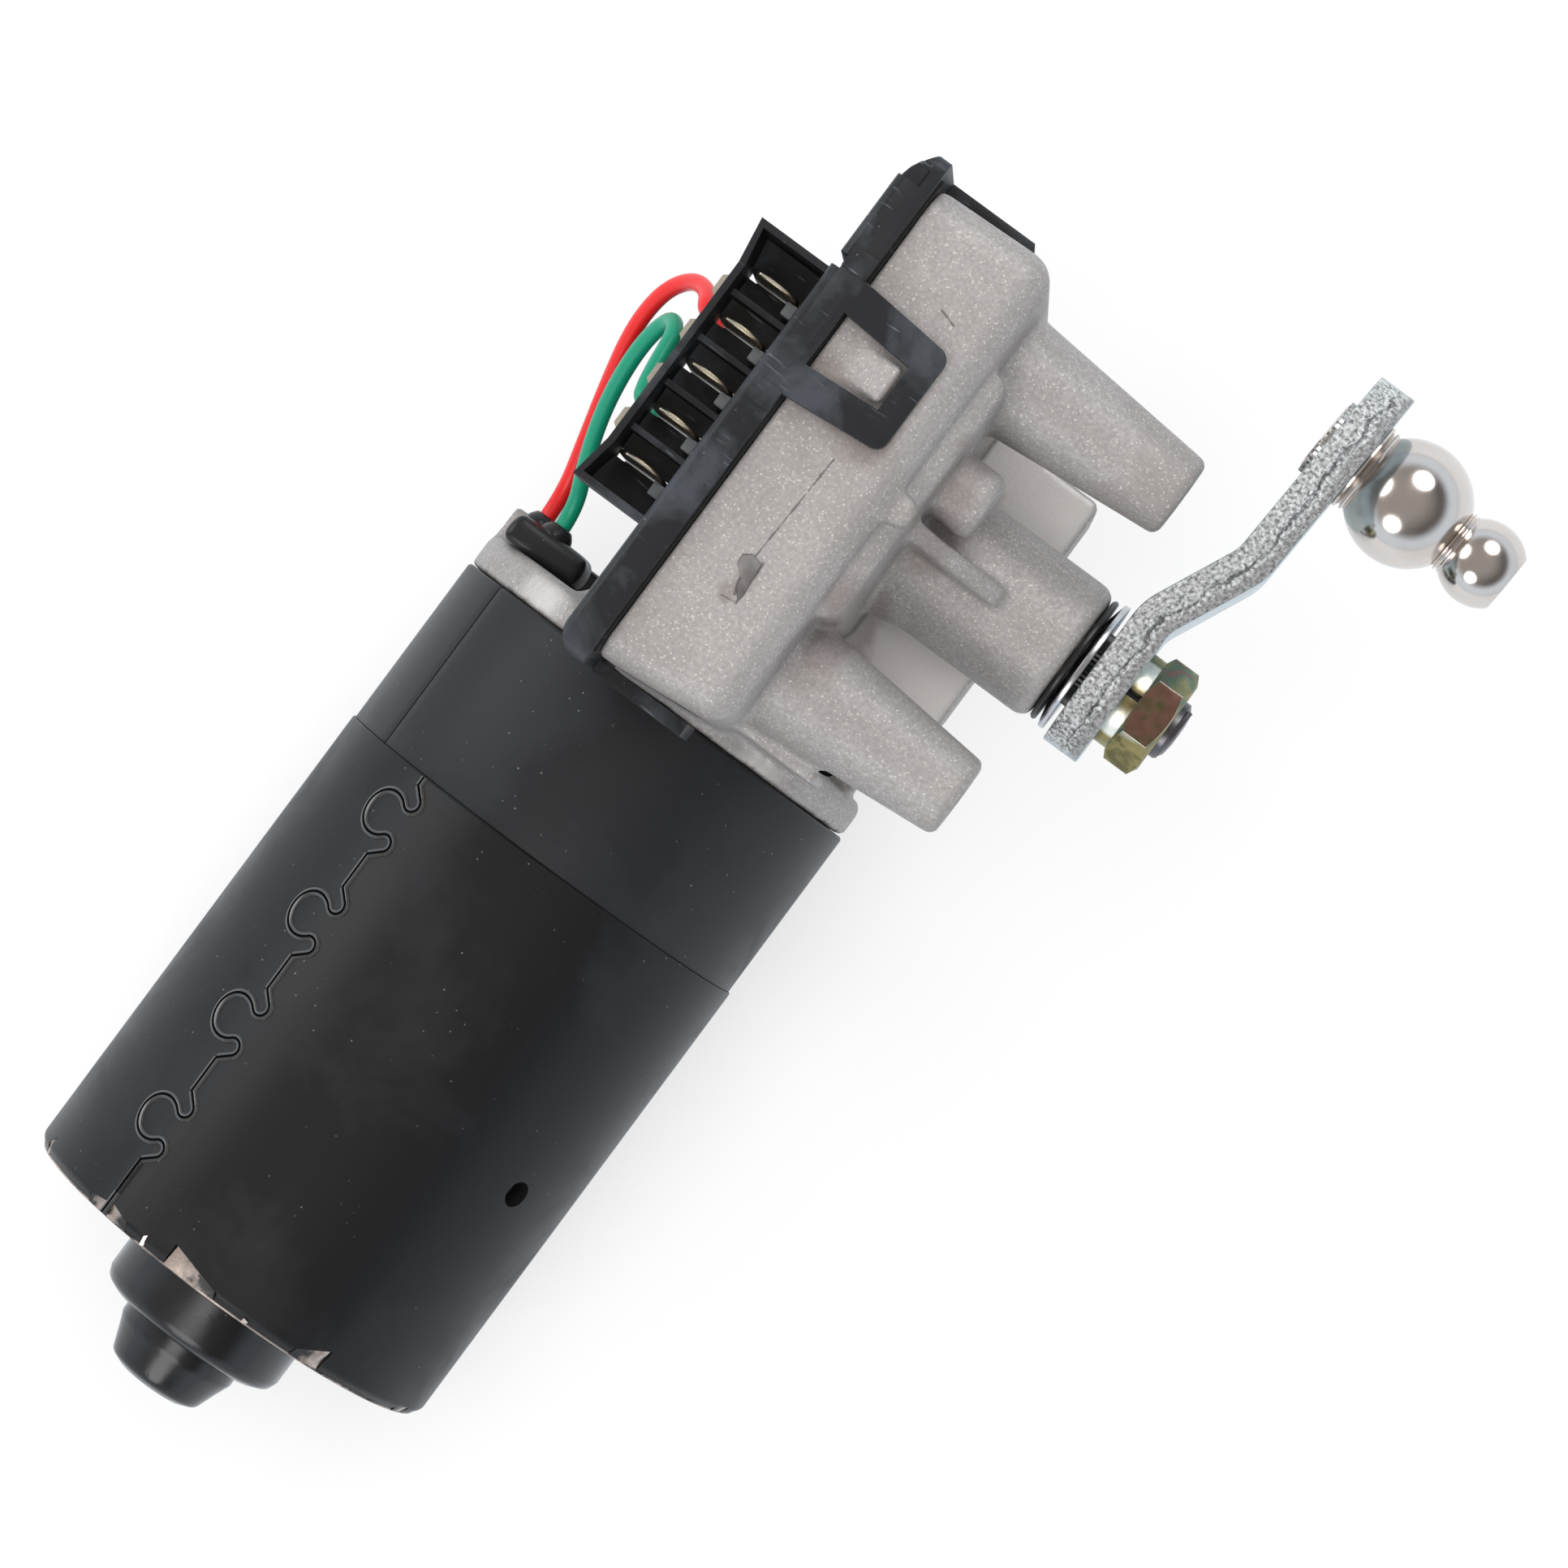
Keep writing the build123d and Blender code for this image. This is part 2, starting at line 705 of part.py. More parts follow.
# Upper motor tube, a rolled strip with a straight seam and a joggled spigot
shell_low = tube_rim - shell_length
yoke_low = tube_rim - shell_length - yoke_length
with BuildPart() as brush_shell:
    inner = shell_r - shell_wall
    spigot_r = yoke_r - yoke_wall - seat_gap
    turned(
        [
            (inner, tube_rim), (shell_r - 0.3, tube_rim), (shell_r, tube_rim - 0.3), (shell_r, shell_low),
            (spigot_r, shell_low), (spigot_r, shell_low - spigot_length),
            (spigot_r - shell_wall, shell_low - spigot_length),
            (spigot_r - shell_wall, shell_low + 1), (inner, shell_low + 2.6),
        ],
        motor_half,
        motor_axis,
    )
    # tabs that take the flange screws
    for angle in screw_angles:
        with BuildSketch(across_motor(tube_rim)) as tab:
            with PolarLocations(screw_ring_r + 1, 1, start_angle=angle):
                Rectangle(tab_length, tab_width)
        extrude(tab.sketch, amount=-2)
        with BuildSketch(across_motor(tube_rim)) as tab_hole:
            with PolarLocations(screw_ring_r, 1, start_angle=angle):
                Circle(screw_shank_r + seat_gap)
        extrude(tab_hole.sketch, amount=-3, mode=Mode.SUBTRACT)
    # straight seam
    with BuildSketch(across_motor(tube_rim + 1)) as seam:
        with PolarLocations(shell_r, 1, start_angle=shell_seam_angle):
            Rectangle(8, 0.25)
    extrude(seam.sketch, amount=-shell_length - spigot_length - 2, mode=Mode.SUBTRACT)
label_and_write(brush_shell, "brush_shell")

# Yoke tube with its puzzle-lock seam, vent hole and crimp stakes
seam_out = Vector(0, 0, 1).rotate(Axis.Y, yoke_seam_angle)
seam_plane = Plane(
    origin=Vector(motor_x, yoke_low, motor_z) + seam_out * (yoke_r - 6),
    x_dir=Vector(0, 1, 0),
    z_dir=seam_out,
)
with BuildSketch(seam_plane) as puzzle_seam:
    with BuildLine() as seam_path:
        neck_half = 1.9
        start = 0.0
        for bulb in range(bulb_count):
            centre = first_bulb + bulb * bulb_pitch
            bulb_mid = bulb_reach - bulb_r
            foot = math.sqrt(bulb_r**2 - neck_half**2)
            Line((start, 0), (centre - neck_half - 1.2, 0))
            Line((centre - neck_half - 1.2, 0), (centre - neck_half, bulb_mid - foot))
            ThreePointArc(
                (centre - neck_half, bulb_mid - foot), (centre, bulb_reach),
                (centre + neck_half, bulb_mid - foot),
            )
            Line((centre + neck_half, bulb_mid - foot), (centre + neck_half + 1.2, 0))
            start = centre + neck_half + 1.2
        Line((start, 0), (yoke_length, 0))
    trace(line_width=seam_width)
with BuildPart() as yoke_tube:
    turned(
        [
            (yoke_r - yoke_wall, yoke_low), (yoke_r - rim_chamfer, yoke_low),
            (yoke_r, yoke_low + rim_chamfer),
            (yoke_r, shell_low - 0.3), (yoke_r - 0.3, shell_low), (yoke_r - yoke_wall, shell_low),
        ],
        motor_half,
        motor_axis,
    )
    extrude(puzzle_seam.sketch, amount=12, mode=Mode.SUBTRACT)
    vent_out = Vector(0, 0, 1).rotate(Axis.Y, vent_angle)
    vent_middle = Vector(motor_x, yoke_low + vent_above_rim, motor_z)
    vent_plane = Plane(origin=vent_middle + vent_out * shell_r * 0.7, z_dir=vent_out)
    disc(vent_plane, vent_r, 20, mode=Mode.SUBTRACT)
    for angle in stake_angles:
        with BuildSketch(across_motor(yoke_low)) as stake:
            with PolarLocations(yoke_r, 1, start_angle=angle):
                Rectangle(2.4, stake_width)
        extrude(stake.sketch, amount=stake_depth, mode=Mode.SUBTRACT)
label_and_write(yoke_tube, "yoke_tube")

# End plate: disc with a stepped bearing cap
plate_low = yoke_low + rim_lip
plate_r = yoke_r - yoke_wall - seat_gap
cap_step_y = yoke_low - cap_step_length
cap_end_y = yoke_low - cap_length
with BuildPart() as end_plate:
    turned(
        [
            (plate_r, plate_low), (plate_r, plate_low + plate_thickness),
            (cap_step_r - plate_thickness, plate_low + plate_thickness),
            (cap_step_r - plate_thickness, cap_step_y + plate_thickness),
            (cap_dome_r - plate_thickness, cap_step_y + plate_thickness),
            (cap_dome_r - plate_thickness, cap_end_y + plate_thickness), (0, cap_end_y + plate_thickness),
            (0, cap_end_y), (cap_tip_r, cap_end_y), (cap_tip_r + 1.6, cap_end_y + 0.7),
            (cap_dome_r - 0.9, cap_end_y + 3.4),
            (cap_dome_r, cap_end_y + 5.6), (cap_dome_r, cap_step_y), (cap_step_r - 1.8, cap_step_y),
            (cap_step_r - 0.5, cap_step_y + 0.6), (cap_step_r, cap_step_y + 1.9), (cap_step_r, plate_low),
        ],
        motor_half,
        motor_axis,
    )
label_and_write(end_plate, "end_plate")

# Rear bush, its star retainer and the thrust pad
rear_bush_low = cap_end_y + plate_thickness + 1.4
shaft_low = cap_end_y + plate_thickness + 1.0
with BuildPart() as rear_bush:
    disc(across_motor(rear_bush_low), rear_bush_r, rear_bush_length)
    chamfer(rear_bush.edges().filter_by(GeomType.CIRCLE), 0.8)
    disc(across_motor(rear_bush_low), armature_shaft_r + running_gap, rear_bush_length, mode=Mode.SUBTRACT)
label_and_write(rear_bush, "rear_bush")

retainer_y = rear_bush_low + rear_bush_length
with BuildPart() as bush_retainer:
    with BuildSketch(across_motor(retainer_y)) as star:
        Circle(cap_step_r - plate_thickness - seat_gap)
        Circle(armature_shaft_r + 1.2, mode=Mode.SUBTRACT)
        with PolarLocations(cap_step_r - plate_thickness, 6):
            Rectangle(7, 2.5, mode=Mode.SUBTRACT)
    extrude(star.sketch, amount=0.6)
label_and_write(bush_retainer, "bush_retainer")

with BuildPart() as thrust_pad:
    disc(across_motor(cap_end_y + plate_thickness), armature_shaft_r + 0.8, 0.8)
label_and_write(thrust_pad, "thrust_pad")

# Two magnets and the spring clips between them
magnet_outer = yoke_r - yoke_wall - 0.1
magnet_inner = magnet_outer - magnet_thickness
magnet_high = shell_low - spigot_length - 1.5
with BuildPart() as magnets:
    for side in (-90.0, 90.0):
        with BuildSketch(across_motor(magnet_high)) as arc_section:
            Circle(magnet_outer)
            Circle(magnet_inner, mode=Mode.SUBTRACT)
            with BuildLine():
                half = math.radians((360 - magnet_arc) / 2)
                opposite = math.radians(side + 180)
                far = 60.0
                Polyline(
                    (0, 0), (far * math.cos(opposite - half), far * math.sin(opposite - half)),
                    (2 * far * math.cos(opposite), 2 * far * math.sin(opposite)),
                    (far * math.cos(opposite + half), far * math.sin(opposite + half)), close=True,
                )
            make_face(mode=Mode.SUBTRACT)
        extrude(arc_section.sketch, amount=-magnet_length)
label_and_write(magnets, "magnets")

clip_half_width = magnet_inner * math.sin(math.radians((180 - magnet_arc) / 2)) - 0.4
with BuildPart() as magnet_clips:
    for side in (0.0, 180.0):
        with BuildSketch(across_motor(magnet_high)) as clip_section:
            with PolarLocations(magnet_outer - 1.6, 1, start_angle=side):
                Rectangle(0.8, 2 * clip_half_width)
                for end in (-1, 1):
                    with Locations((-1.4, end * (clip_half_width - 0.4))):
                        Rectangle(2.8, 0.8)
        extrude(clip_section.sketch, amount=-magnet_length)
label_and_write(magnet_clips, "magnet_clips")

# Armature shaft with the worm
thread_length = thread_turns * worm_pitch
thread_thick = (worm_pitch - backlash) / 2
flank = math.tan(math.radians(pressure_angle))
worm_root_half = thread_thick / 2 + (worm_pitch_r - armature_shaft_r) * flank
worm_tip_half = thread_thick / 2 - axial_module * flank
tip_start = thread_length / 2 + 3.5
shaft_high = end_seat_y + end_bush_length - 0.4
thread_start_y = -thread_length / 2
thread_foot_r = armature_shaft_r - 0.15
thread_height = worm_tip_r - thread_foot_r
with BuildPart() as worm_thread:
    with BuildLine() as helix:
        Helix(pitch=worm_pitch, height=thread_length, radius=thread_foot_r)
    section_plane = Plane(origin=(thread_foot_r, 0, 0), x_dir=(1, 0, 0), z_dir=(0, -1, 0))
    with BuildSketch(section_plane) as thread_section:
        with BuildLine():
            Polyline(
                (0, -worm_root_half), (thread_height, -worm_tip_half),
                (thread_height, worm_tip_half), (0, worm_root_half), close=True,
            )
        make_face()
    sweep(thread_section.sketch, path=helix.line, is_frenet=True)
# a crest faces the wheel at Y = 0
thread_place = across_motor(-thread_length / 2).location * Rot(0, 0, -180.0 * thread_turns)
with BuildPart() as armature_shaft:
    turned(
        [
            (0, shaft_low), (armature_shaft_r - 0.6, shaft_low), (armature_shaft_r, shaft_low + 0.6),
            (armature_shaft_r, tip_start), (tip_shaft_r, tip_start + 0.5), (tip_shaft_r, shaft_high - 0.4),
            (tip_shaft_r - 0.4, shaft_high), (0, shaft_high),
        ],
        motor_half,
        motor_axis,
    )
    add(thread_place * worm_thread.part)
label_and_write(armature_shaft, "armature_shaft")

# Lamination stack
core_r = magnet_inner - air_gap
core_high = magnet_high - 3.0
with BuildPart() as armature_core:
    with BuildSketch(across_motor(core_high)) as lamination:
        Circle(core_r)
        Circle(armature_shaft_r, mode=Mode.SUBTRACT)
        with PolarLocations(core_r - slot_depth / 2 - 1.2, slot_count):
            RectangleRounded(slot_depth, slot_width, 1.2, mode=Mode.SUBTRACT)
        with PolarLocations(core_r, slot_count):
            Rectangle(4, slot_mouth, mode=Mode.SUBTRACT)
    extrude(lamination.sketch, amount=-core_length)
label_and_write(armature_core, "armature_core")

# Windings: slot bars joined by the two end turns
winding_inner = armature_shaft_r + 2.5
winding_outer = core_r - 2.4
with BuildPart() as armature_windings:
    with BuildSketch(across_motor(core_high)) as bars:
        with PolarLocations(core_r - slot_depth / 2 - 1.2, slot_count):
            RectangleRounded(slot_depth - 1, slot_width - 0.8, 0.8)
    extrude(bars.sketch, amount=-core_length)
    for high, way in ((core_high, 1), (core_high - core_length, -1)):
        turned(
            [
                (winding_inner, high), (winding_outer, high), (winding_outer, high + way * 3.5),
                (winding_outer - 2.2, high + way * 5.8), (winding_inner + 2.5, high + way * 5.8),
                (winding_inner, high + way * 3.5),
            ],
            motor_half,
            motor_axis,
        )
label_and_write(armature_windings, "armature_windings")

# Commutator
commutator_low = core_high + 7.5
hub_r = commutator_r - 3.0
with BuildPart() as commutator_hub:
    turned(
        [
            (armature_shaft_r, commutator_low - 0.8), (hub_r, commutator_low - 0.8),
            (hub_r, commutator_low + commutator_length),
            (armature_shaft_r, commutator_low + commutator_length),
        ],
        motor_half,
        motor_axis,
    )
label_and_write(commutator_hub, "commutator_hub")

with BuildPart() as commutator_bars:
    with BuildSketch(across_motor(commutator_low)) as bars:
        Circle(commutator_r)
        Circle(hub_r, mode=Mode.SUBTRACT)
        with PolarLocations(commutator_r, commutator_bars_count):
            Rectangle(2 * commutator_r, bar_gap, mode=Mode.SUBTRACT)
    extrude(bars.sketch, amount=commutator_length)
label_and_write(commutator_bars, "commutator_bars")

# Bushes of the gearbox end
with BuildPart() as front_bush:
    disc(across_motor(front_bush_y), front_bush_r, front_bush_length)
    disc(across_motor(front_bush_y), armature_shaft_r + running_gap, front_bush_length, mode=Mode.SUBTRACT)
label_and_write(front_bush, "front_bush")

with BuildPart() as worm_end_bush:
    disc(across_motor(end_seat_y), end_bush_r, end_bush_length)
    disc(across_motor(end_seat_y), tip_shaft_r + running_gap, end_bush_length, mode=Mode.SUBTRACT)
label_and_write(worm_end_bush, "worm_end_bush")

thrust_screw_low = end_seat_y + end_bush_length
with BuildPart() as thrust_screw:
    disc(across_motor(thrust_screw_low), thrust_screw_r, tunnel_end + 0.8 - thrust_screw_low)
    with BuildSketch(across_motor(tunnel_end + 0.8)) as driver_slot:
        Rectangle(3 * thrust_screw_r, thrust_slot_width)
    extrude(driver_slot.sketch, amount=-thrust_slot_depth, mode=Mode.SUBTRACT)
label_and_write(thrust_screw, "thrust_screw")

# Brush card with three boxes, brushes and springs
card_y = tube_rim - card_drop
card_r = shell_r - shell_wall - seat_gap
brush_start = commutator_r + 0.1
with BuildPart() as brush_card:
    with BuildSketch(across_motor(card_y)) as card:
        Circle(card_r)
        Circle(commutator_r + 1.2, mode=Mode.SUBTRACT)
    extrude(card.sketch, amount=-card_thickness)
label_and_write(brush_card, "brush_card")

box_low = card_y - card_thickness - brush_height - 2 * box_wall
with BuildPart() as brush_boxes:
    for angle in brush_angles:
        with BuildSketch(across_motor(box_low)) as box_plan:
            with PolarLocations(brush_start + box_stand_off + brush_length / 2, 1, start_angle=angle):
                Rectangle(brush_length, brush_width + 2 * box_wall)
        extrude(box_plan.sketch, amount=brush_height + 2 * box_wall)
        with BuildSketch(across_motor(box_low + box_wall)) as box_hole:
            with PolarLocations(brush_start + box_stand_off + brush_length / 2, 1, start_angle=angle):
                Rectangle(brush_length + 2, brush_width + 0.1)
        extrude(box_hole.sketch, amount=brush_height, mode=Mode.SUBTRACT)
label_and_write(brush_boxes, "brush_boxes")

with BuildPart() as brushes:
    for angle in brush_angles:
        with BuildSketch(across_motor(box_low + box_wall)) as brush_plan:
            with PolarLocations(brush_start + brush_length / 2, 1, start_angle=angle):
                Rectangle(brush_length, brush_width)
        extrude(brush_plan.sketch, amount=brush_height)
        disc(across_motor(box_low - 1), brush_start, brush_height + 3, mode=Mode.SUBTRACT)
label_and_write(brushes, "brushes")

with BuildPart() as brush_springs:
    for angle in brush_angles:
        with BuildSketch(across_motor(box_low + box_wall + 1)) as leaf:
            with PolarLocations(brush_start + brush_length + box_stand_off, 1, start_angle=angle):
                Rectangle(spring_thickness, brush_width - 1)
                with Locations((-box_stand_off / 2, 0)):
                    Rectangle(box_stand_off, 1.0)
        extrude(leaf.sketch, amount=brush_height - 2)
label_and_write(brush_springs, "brush_springs")

# Worm wheel: toothed ring, web and hub
tooth_step = 360.0 / wheel_teeth
base_r = wheel_pitch_r * math.cos(math.radians(pressure_angle))


def involute(radius):
    """Involute function of the pressure angle at a radius."""
    slope = math.acos(min(1.0, base_r / radius))
    return math.tan(slope) - slope


def tooth_half_angle(radius):
    """Half the angle that a tooth fills at a radius, in degrees."""
    at_pitch = (worm_pitch - backlash) / (4 * wheel_pitch_r)
    return math.degrees(at_pitch + involute(wheel_pitch_r) - involute(radius))


def toothed_outline(x, turn):
    """Outline of the toothed ring at x, turned by some degrees. A gap faces the worm."""
    corners = []
    for tooth in range(wheel_teeth):
        middle = -90.0 + (tooth + 0.5) * tooth_step + turn
        for radius, side in ((wheel_root_r, -1), (wheel_tip_r, -1), (wheel_tip_r, 1), (wheel_root_r, 1)):
            at = math.radians(middle + side * tooth_half_angle(radius))
            corners.append((radius * math.cos(at), radius * math.sin(at)))
    with BuildSketch(across_output(x)) as outline:
        with BuildLine():
            Polyline(*corners, close=True)
        make_face()
    return outline.sketch


wheel_low_x = motor_x - wheel_width / 2
wheel_high_x = motor_x + wheel_width / 2
twist = math.degrees(wheel_width * math.tan(math.radians(worm_lead_angle)) / wheel_pitch_r)
hub_high_x = floor_x - 1.0
with BuildPart() as worm_wheel:
    loft([toothed_outline(wheel_low_x, -twist / 2), toothed_outline(wheel_high_x, twist / 2)], ruled=True)
    # recessed web on the housing side
    turned(
        [(wheel_low_x + wheel_web, wheel_hub_r), (wheel_high_x + 1, wheel_hub_r),
         (wheel_high_x + 1, wheel_root_r - 3.5),
         (wheel_low_x + wheel_web, wheel_root_r - 3.5)],
        Plane.XY,
        Axis.X,
        mode=Mode.SUBTRACT,
    )
    disc(across_output(wheel_low_x), wheel_hub_r, hub_high_x - wheel_low_x)
    with BuildSketch(across_output(wheel_low_x + wheel_web)) as ribs:
        with PolarLocations((wheel_hub_r + wheel_root_r) / 2 - 2, wheel_rib_count):
            Rectangle(wheel_root_r - wheel_hub_r - 2, wheel_rib_width)
    extrude(ribs.sketch, amount=2.4)
    disc(across_output(wheel_low_x - 1), output_shaft_r, 20, mode=Mode.SUBTRACT)
label_and_write(worm_wheel, "worm_wheel")

# Parking contact disc on the wheel's cover side, with its notch
with BuildPart() as contact_disc:
    with BuildSketch(across_output(wheel_low_x)) as contact_plan:
        Circle(contact_outer_r)
        Circle(contact_inner_r, mode=Mode.SUBTRACT)
        with PolarLocations(contact_outer_r - 1, 1, start_angle=park_angle):
            Rectangle(park_notch, park_notch, mode=Mode.SUBTRACT)
    extrude(contact_plan.sketch, amount=-disc_thickness)
label_and_write(contact_disc, "contact_disc")

# Contact fingers inside the cover
finger_face_x = cover_face_x + cover_wall
finger_high_x = wheel_low_x - disc_thickness - body_gap
finger_low_x = finger_high_x - finger_thickness
with BuildPart() as contact_fingers:
    for finger, radius in enumerate(finger_radii):
        low_y = radius - finger_width / 2
        high_y = radius + finger_width / 2
        root_z = finger_root_z - finger
        block((finger_low_x, low_y, finger_low_z), (finger_high_x, high_y, root_z + finger_root))
        block((finger_face_x, low_y, root_z), (finger_low_x, high_y, root_z + finger_root))
label_and_write(contact_fingers, "contact_fingers")

# Output shaft with knurl and thread
with BuildPart() as output_shaft:
    turned(
        [
            (wheel_low_x, 0), (wheel_low_x, output_shaft_r - 0.5), (wheel_low_x + 0.5, output_shaft_r),
            (knurl_low, output_shaft_r), (knurl_low, knurl_r), (crank_back_x + knurl_reach, knurl_r),
            (crank_back_x + knurl_reach + 0.4, output_stud_r), (stud_end - 0.9, output_stud_r),
            (stud_end - 0.2, output_stud_r - 1.1), (stud_end, output_stud_r - 2.6), (stud_end, 0),
        ],
        Plane.XY,
        Axis.X,
    )
label_and_write(output_shaft, "output_shaft")

with BuildPart() as output_bushes:
    for low in (floor_x + 0.6, output_boss_end - 0.6 - output_bush_length):
        disc(across_output(low), bush_r, output_bush_length)
        disc(across_output(low), output_shaft_r + running_gap, output_bush_length, mode=Mode.SUBTRACT)
label_and_write(output_bushes, "output_bushes")

with BuildPart() as thrust_washer:
    disc(across_output(hub_high_x + 0.1), wheel_hub_r, floor_x - hub_high_x - 0.1)
    disc(across_output(hub_high_x), output_shaft_r + running_gap, 3, mode=Mode.SUBTRACT)
label_and_write(thrust_washer, "thrust_washer")

# Seal ring and dished washer at the boss end
with BuildPart() as output_seal:
    turned(
        [
            (output_boss_end, output_shaft_r + running_gap), (output_boss_end, seal_r - 0.3),
            (output_boss_end + 0.3, seal_r), (output_boss_end + 0.6, seal_r),
            (output_boss_end + 0.8, seal_r - 0.2),
            (output_boss_end + 0.8, output_shaft_r + running_gap),
        ],
        Plane.XY,
        Axis.X,
    )
label_and_write(output_seal, "output_seal")

dish_x = output_boss_end + 0.9
with BuildPart() as dished_washer:
    turned(
        [
            (dish_x, knurl_r), (dish_x, 6.6), (dish_x + 0.6, dish_r),
            (dish_x + 0.6 + dish_thickness, dish_r),
            (dish_x + dish_thickness, 6.6), (dish_x + dish_thickness, knurl_r),
        ],
        Plane.XY,
        Axis.X,
    )
    disc(across_output(dish_x - 1), output_shaft_r, 4, mode=Mode.SUBTRACT)
label_and_write(dished_washer, "dished_washer")

# Crank arm: a bent strap with round ends
crank_mid_x = crank_back_x + crank_thickness / 2
crank_upper_x = crank_mid_x + crank_joggle
crank_tip_y = crank_centres + crank_width / 2
crank_lean = math.tan(math.radians(crank_tilt))
with BuildPart() as crank_arm:
    with BuildSketch(Plane.XY) as strap:
        with BuildLine():
            FilletPolyline(
                (crank_mid_x, -crank_width / 2 - 2), (crank_mid_x, crank_joggle_low),
                (crank_upper_x, crank_joggle_high),
                (crank_upper_x + (crank_tip_y + 2 - crank_joggle_high) * crank_lean, crank_tip_y + 2),
                radius=crank_bend_r,
            )
        trace(line_width=crank_thickness)
    extrude(strap.sketch, amount=crank_width / 2, both=True)
    with BuildSketch(across_output(0)) as crank_plan:
        with Locations((crank_centres / 2, 0)):
            SlotCenterToCenter(crank_centres, crank_width)
    extrude(crank_plan.sketch, amount=30, mode=Mode.INTERSECT)
    disc(across_output(0), knurl_r, crank_back_x + knurl_reach + 0.4, mode=Mode.SUBTRACT)
    disc(across_output(0), output_stud_r + 0.3, 30, mode=Mode.SUBTRACT)
    stud_out = Vector(math.cos(math.radians(crank_tilt)), -math.sin(math.radians(crank_tilt)), 0)
    stud_mid = Vector(crank_upper_x + (crank_centres - crank_joggle_high) * crank_lean, crank_centres, 0)
    stud_base = stud_mid + stud_out * crank_thickness / 2
    stud_plane = Plane(origin=stud_base - stud_out * crank_width, z_dir=stud_out)
    disc(stud_plane, stud_hole_r, 2 * crank_width, mode=Mode.SUBTRACT)
label_and_write(crank_arm, "crank_arm")

# Ball stud, riveted through the crank
stud_place = Plane(origin=stud_base, x_dir=stud_out, z_dir=(0, 0, 1)).location
back = -crank_thickness - 0.02
big_x = ball_distance
small_x = ball_distance + ball_spacing
flat_x = small_x + flat_after_small
collar_meet_r = math.sqrt(ball_r**2 - (big_x - collar_length) ** 2)
collar_meet_angle = math.degrees(math.asin(collar_meet_r / ball_r))
waist_big_angle = math.degrees(math.asin(waist_r / ball_r))
waist_small_angle = math.degrees(math.asin(waist_r / small_ball_r))
flat_angle = math.degrees(math.acos(flat_after_small / small_ball_r))
with BuildPart() as straight_stud:
    with BuildSketch():
        with BuildLine() as stud_line:
            Polyline(
                (flat_x, small_ball_r * math.sin(math.radians(flat_angle))), (flat_x, 0),
                (back - rivet_height, 0),
                (back - rivet_height, rivet_r - 0.5), (back - rivet_height + 0.4, rivet_r), (back, rivet_r),
                (back, stud_hole_r - 0.02), (0.02, stud_hole_r - 0.02), (0.02, collar_r),
                (collar_length, collar_r), (collar_length, collar_meet_r),
            )
            CenterArc((big_x, 0), ball_r, 180 - collar_meet_angle, collar_meet_angle + waist_big_angle - 180)
            Line(
                (big_x + ball_r * math.cos(math.radians(waist_big_angle)), waist_r),
                (small_x - small_ball_r * math.cos(math.radians(waist_small_angle)), waist_r),
            )
            small_arc = waist_small_angle + flat_angle - 180
            CenterArc((small_x, 0), small_ball_r, 180 - waist_small_angle, small_arc)
        make_face()
    revolve(axis=Axis.X)
with BuildPart() as ball_stud:
    add(stud_place * straight_stud.part)
label_and_write(ball_stud, "ball_stud")

# Split spring washer and nut
washer_low = crank_back_x + crank_thickness
with BuildPart() as spring_washer:
    disc(across_output(washer_low), washer_r, washer_thickness)
    disc(across_output(washer_low - 1), output_stud_r + 0.1, 5, mode=Mode.SUBTRACT)
    block((washer_low - 1, 0, 4), (washer_low + 3, 1.0, 8), mode=Mode.SUBTRACT)
label_and_write(spring_washer, "spring_washer")

nut_low = washer_low + washer_thickness
with BuildPart() as crank_nut:
    with BuildSketch(across_output(nut_low)) as hexagon:
        RegularPolygon(nut_flats / 2, 6, major_radius=False, rotation=30)
    extrude(hexagon.sketch, amount=nut_height)
    turned(
        [
            (nut_low, 0), (nut_low, nut_flats / 2), (nut_low + 0.6, nut_flats / 2 + 1.1),
            (nut_low + nut_height - 0.8, nut_flats / 2 + 1.1), (nut_low + nut_height, nut_flats / 2 - 0.3),
            (nut_low + nut_height, 0),
        ],
        Plane.XY,
        Axis.X,
        mode=Mode.INTERSECT,
    )
    disc(across_output(nut_low - 1), output_stud_r, 10, mode=Mode.SUBTRACT)
label_and_write(crank_nut, "crank_nut")

# Flange screws
with BuildPart() as flange_screws:
    for angle in screw_angles:
        screw_z = motor_z + screw_ring_r * math.cos(math.radians(angle))
        screw_x = motor_x + screw_ring_r * math.sin(math.radians(angle))
        screw_plane = Plane(origin=(screw_x, 0, screw_z), x_dir=(1, 0, 0), z_dir=(0, 0, 1))
        turned(
            [
                (0, flange_top + screw_head_height), (screw_head_r - 0.5, flange_top + screw_head_height),
                (screw_head_r, flange_top + screw_head_height - 0.5), (screw_head_r, flange_top + 0.01),
                (screw_shank_r, flange_top + 0.01), (screw_shank_r, tube_rim - 6), (0, tube_rim - 6),
            ],
            screw_plane,
            Axis((screw_x, 0, screw_z), (0, 1, 0)),
        )
label_and_write(flange_screws, "flange_screws")

# Rubber grommet on the flange, where the leads come out
grommet_top = flange_top + grommet_height
with BuildPart() as lead_grommet:
    block((grommet_far_x, flange_top, grommet_low_z), (grommet_near_x, grommet_top, grommet_high_z))
    fillet(lead_grommet.edges().filter_by(Axis.Y), 2.5)
    fillet(lead_grommet.faces().sort_by(Axis.Y)[-1].edges(), 1.2)
label_and_write(lead_grommet, "lead_grommet")

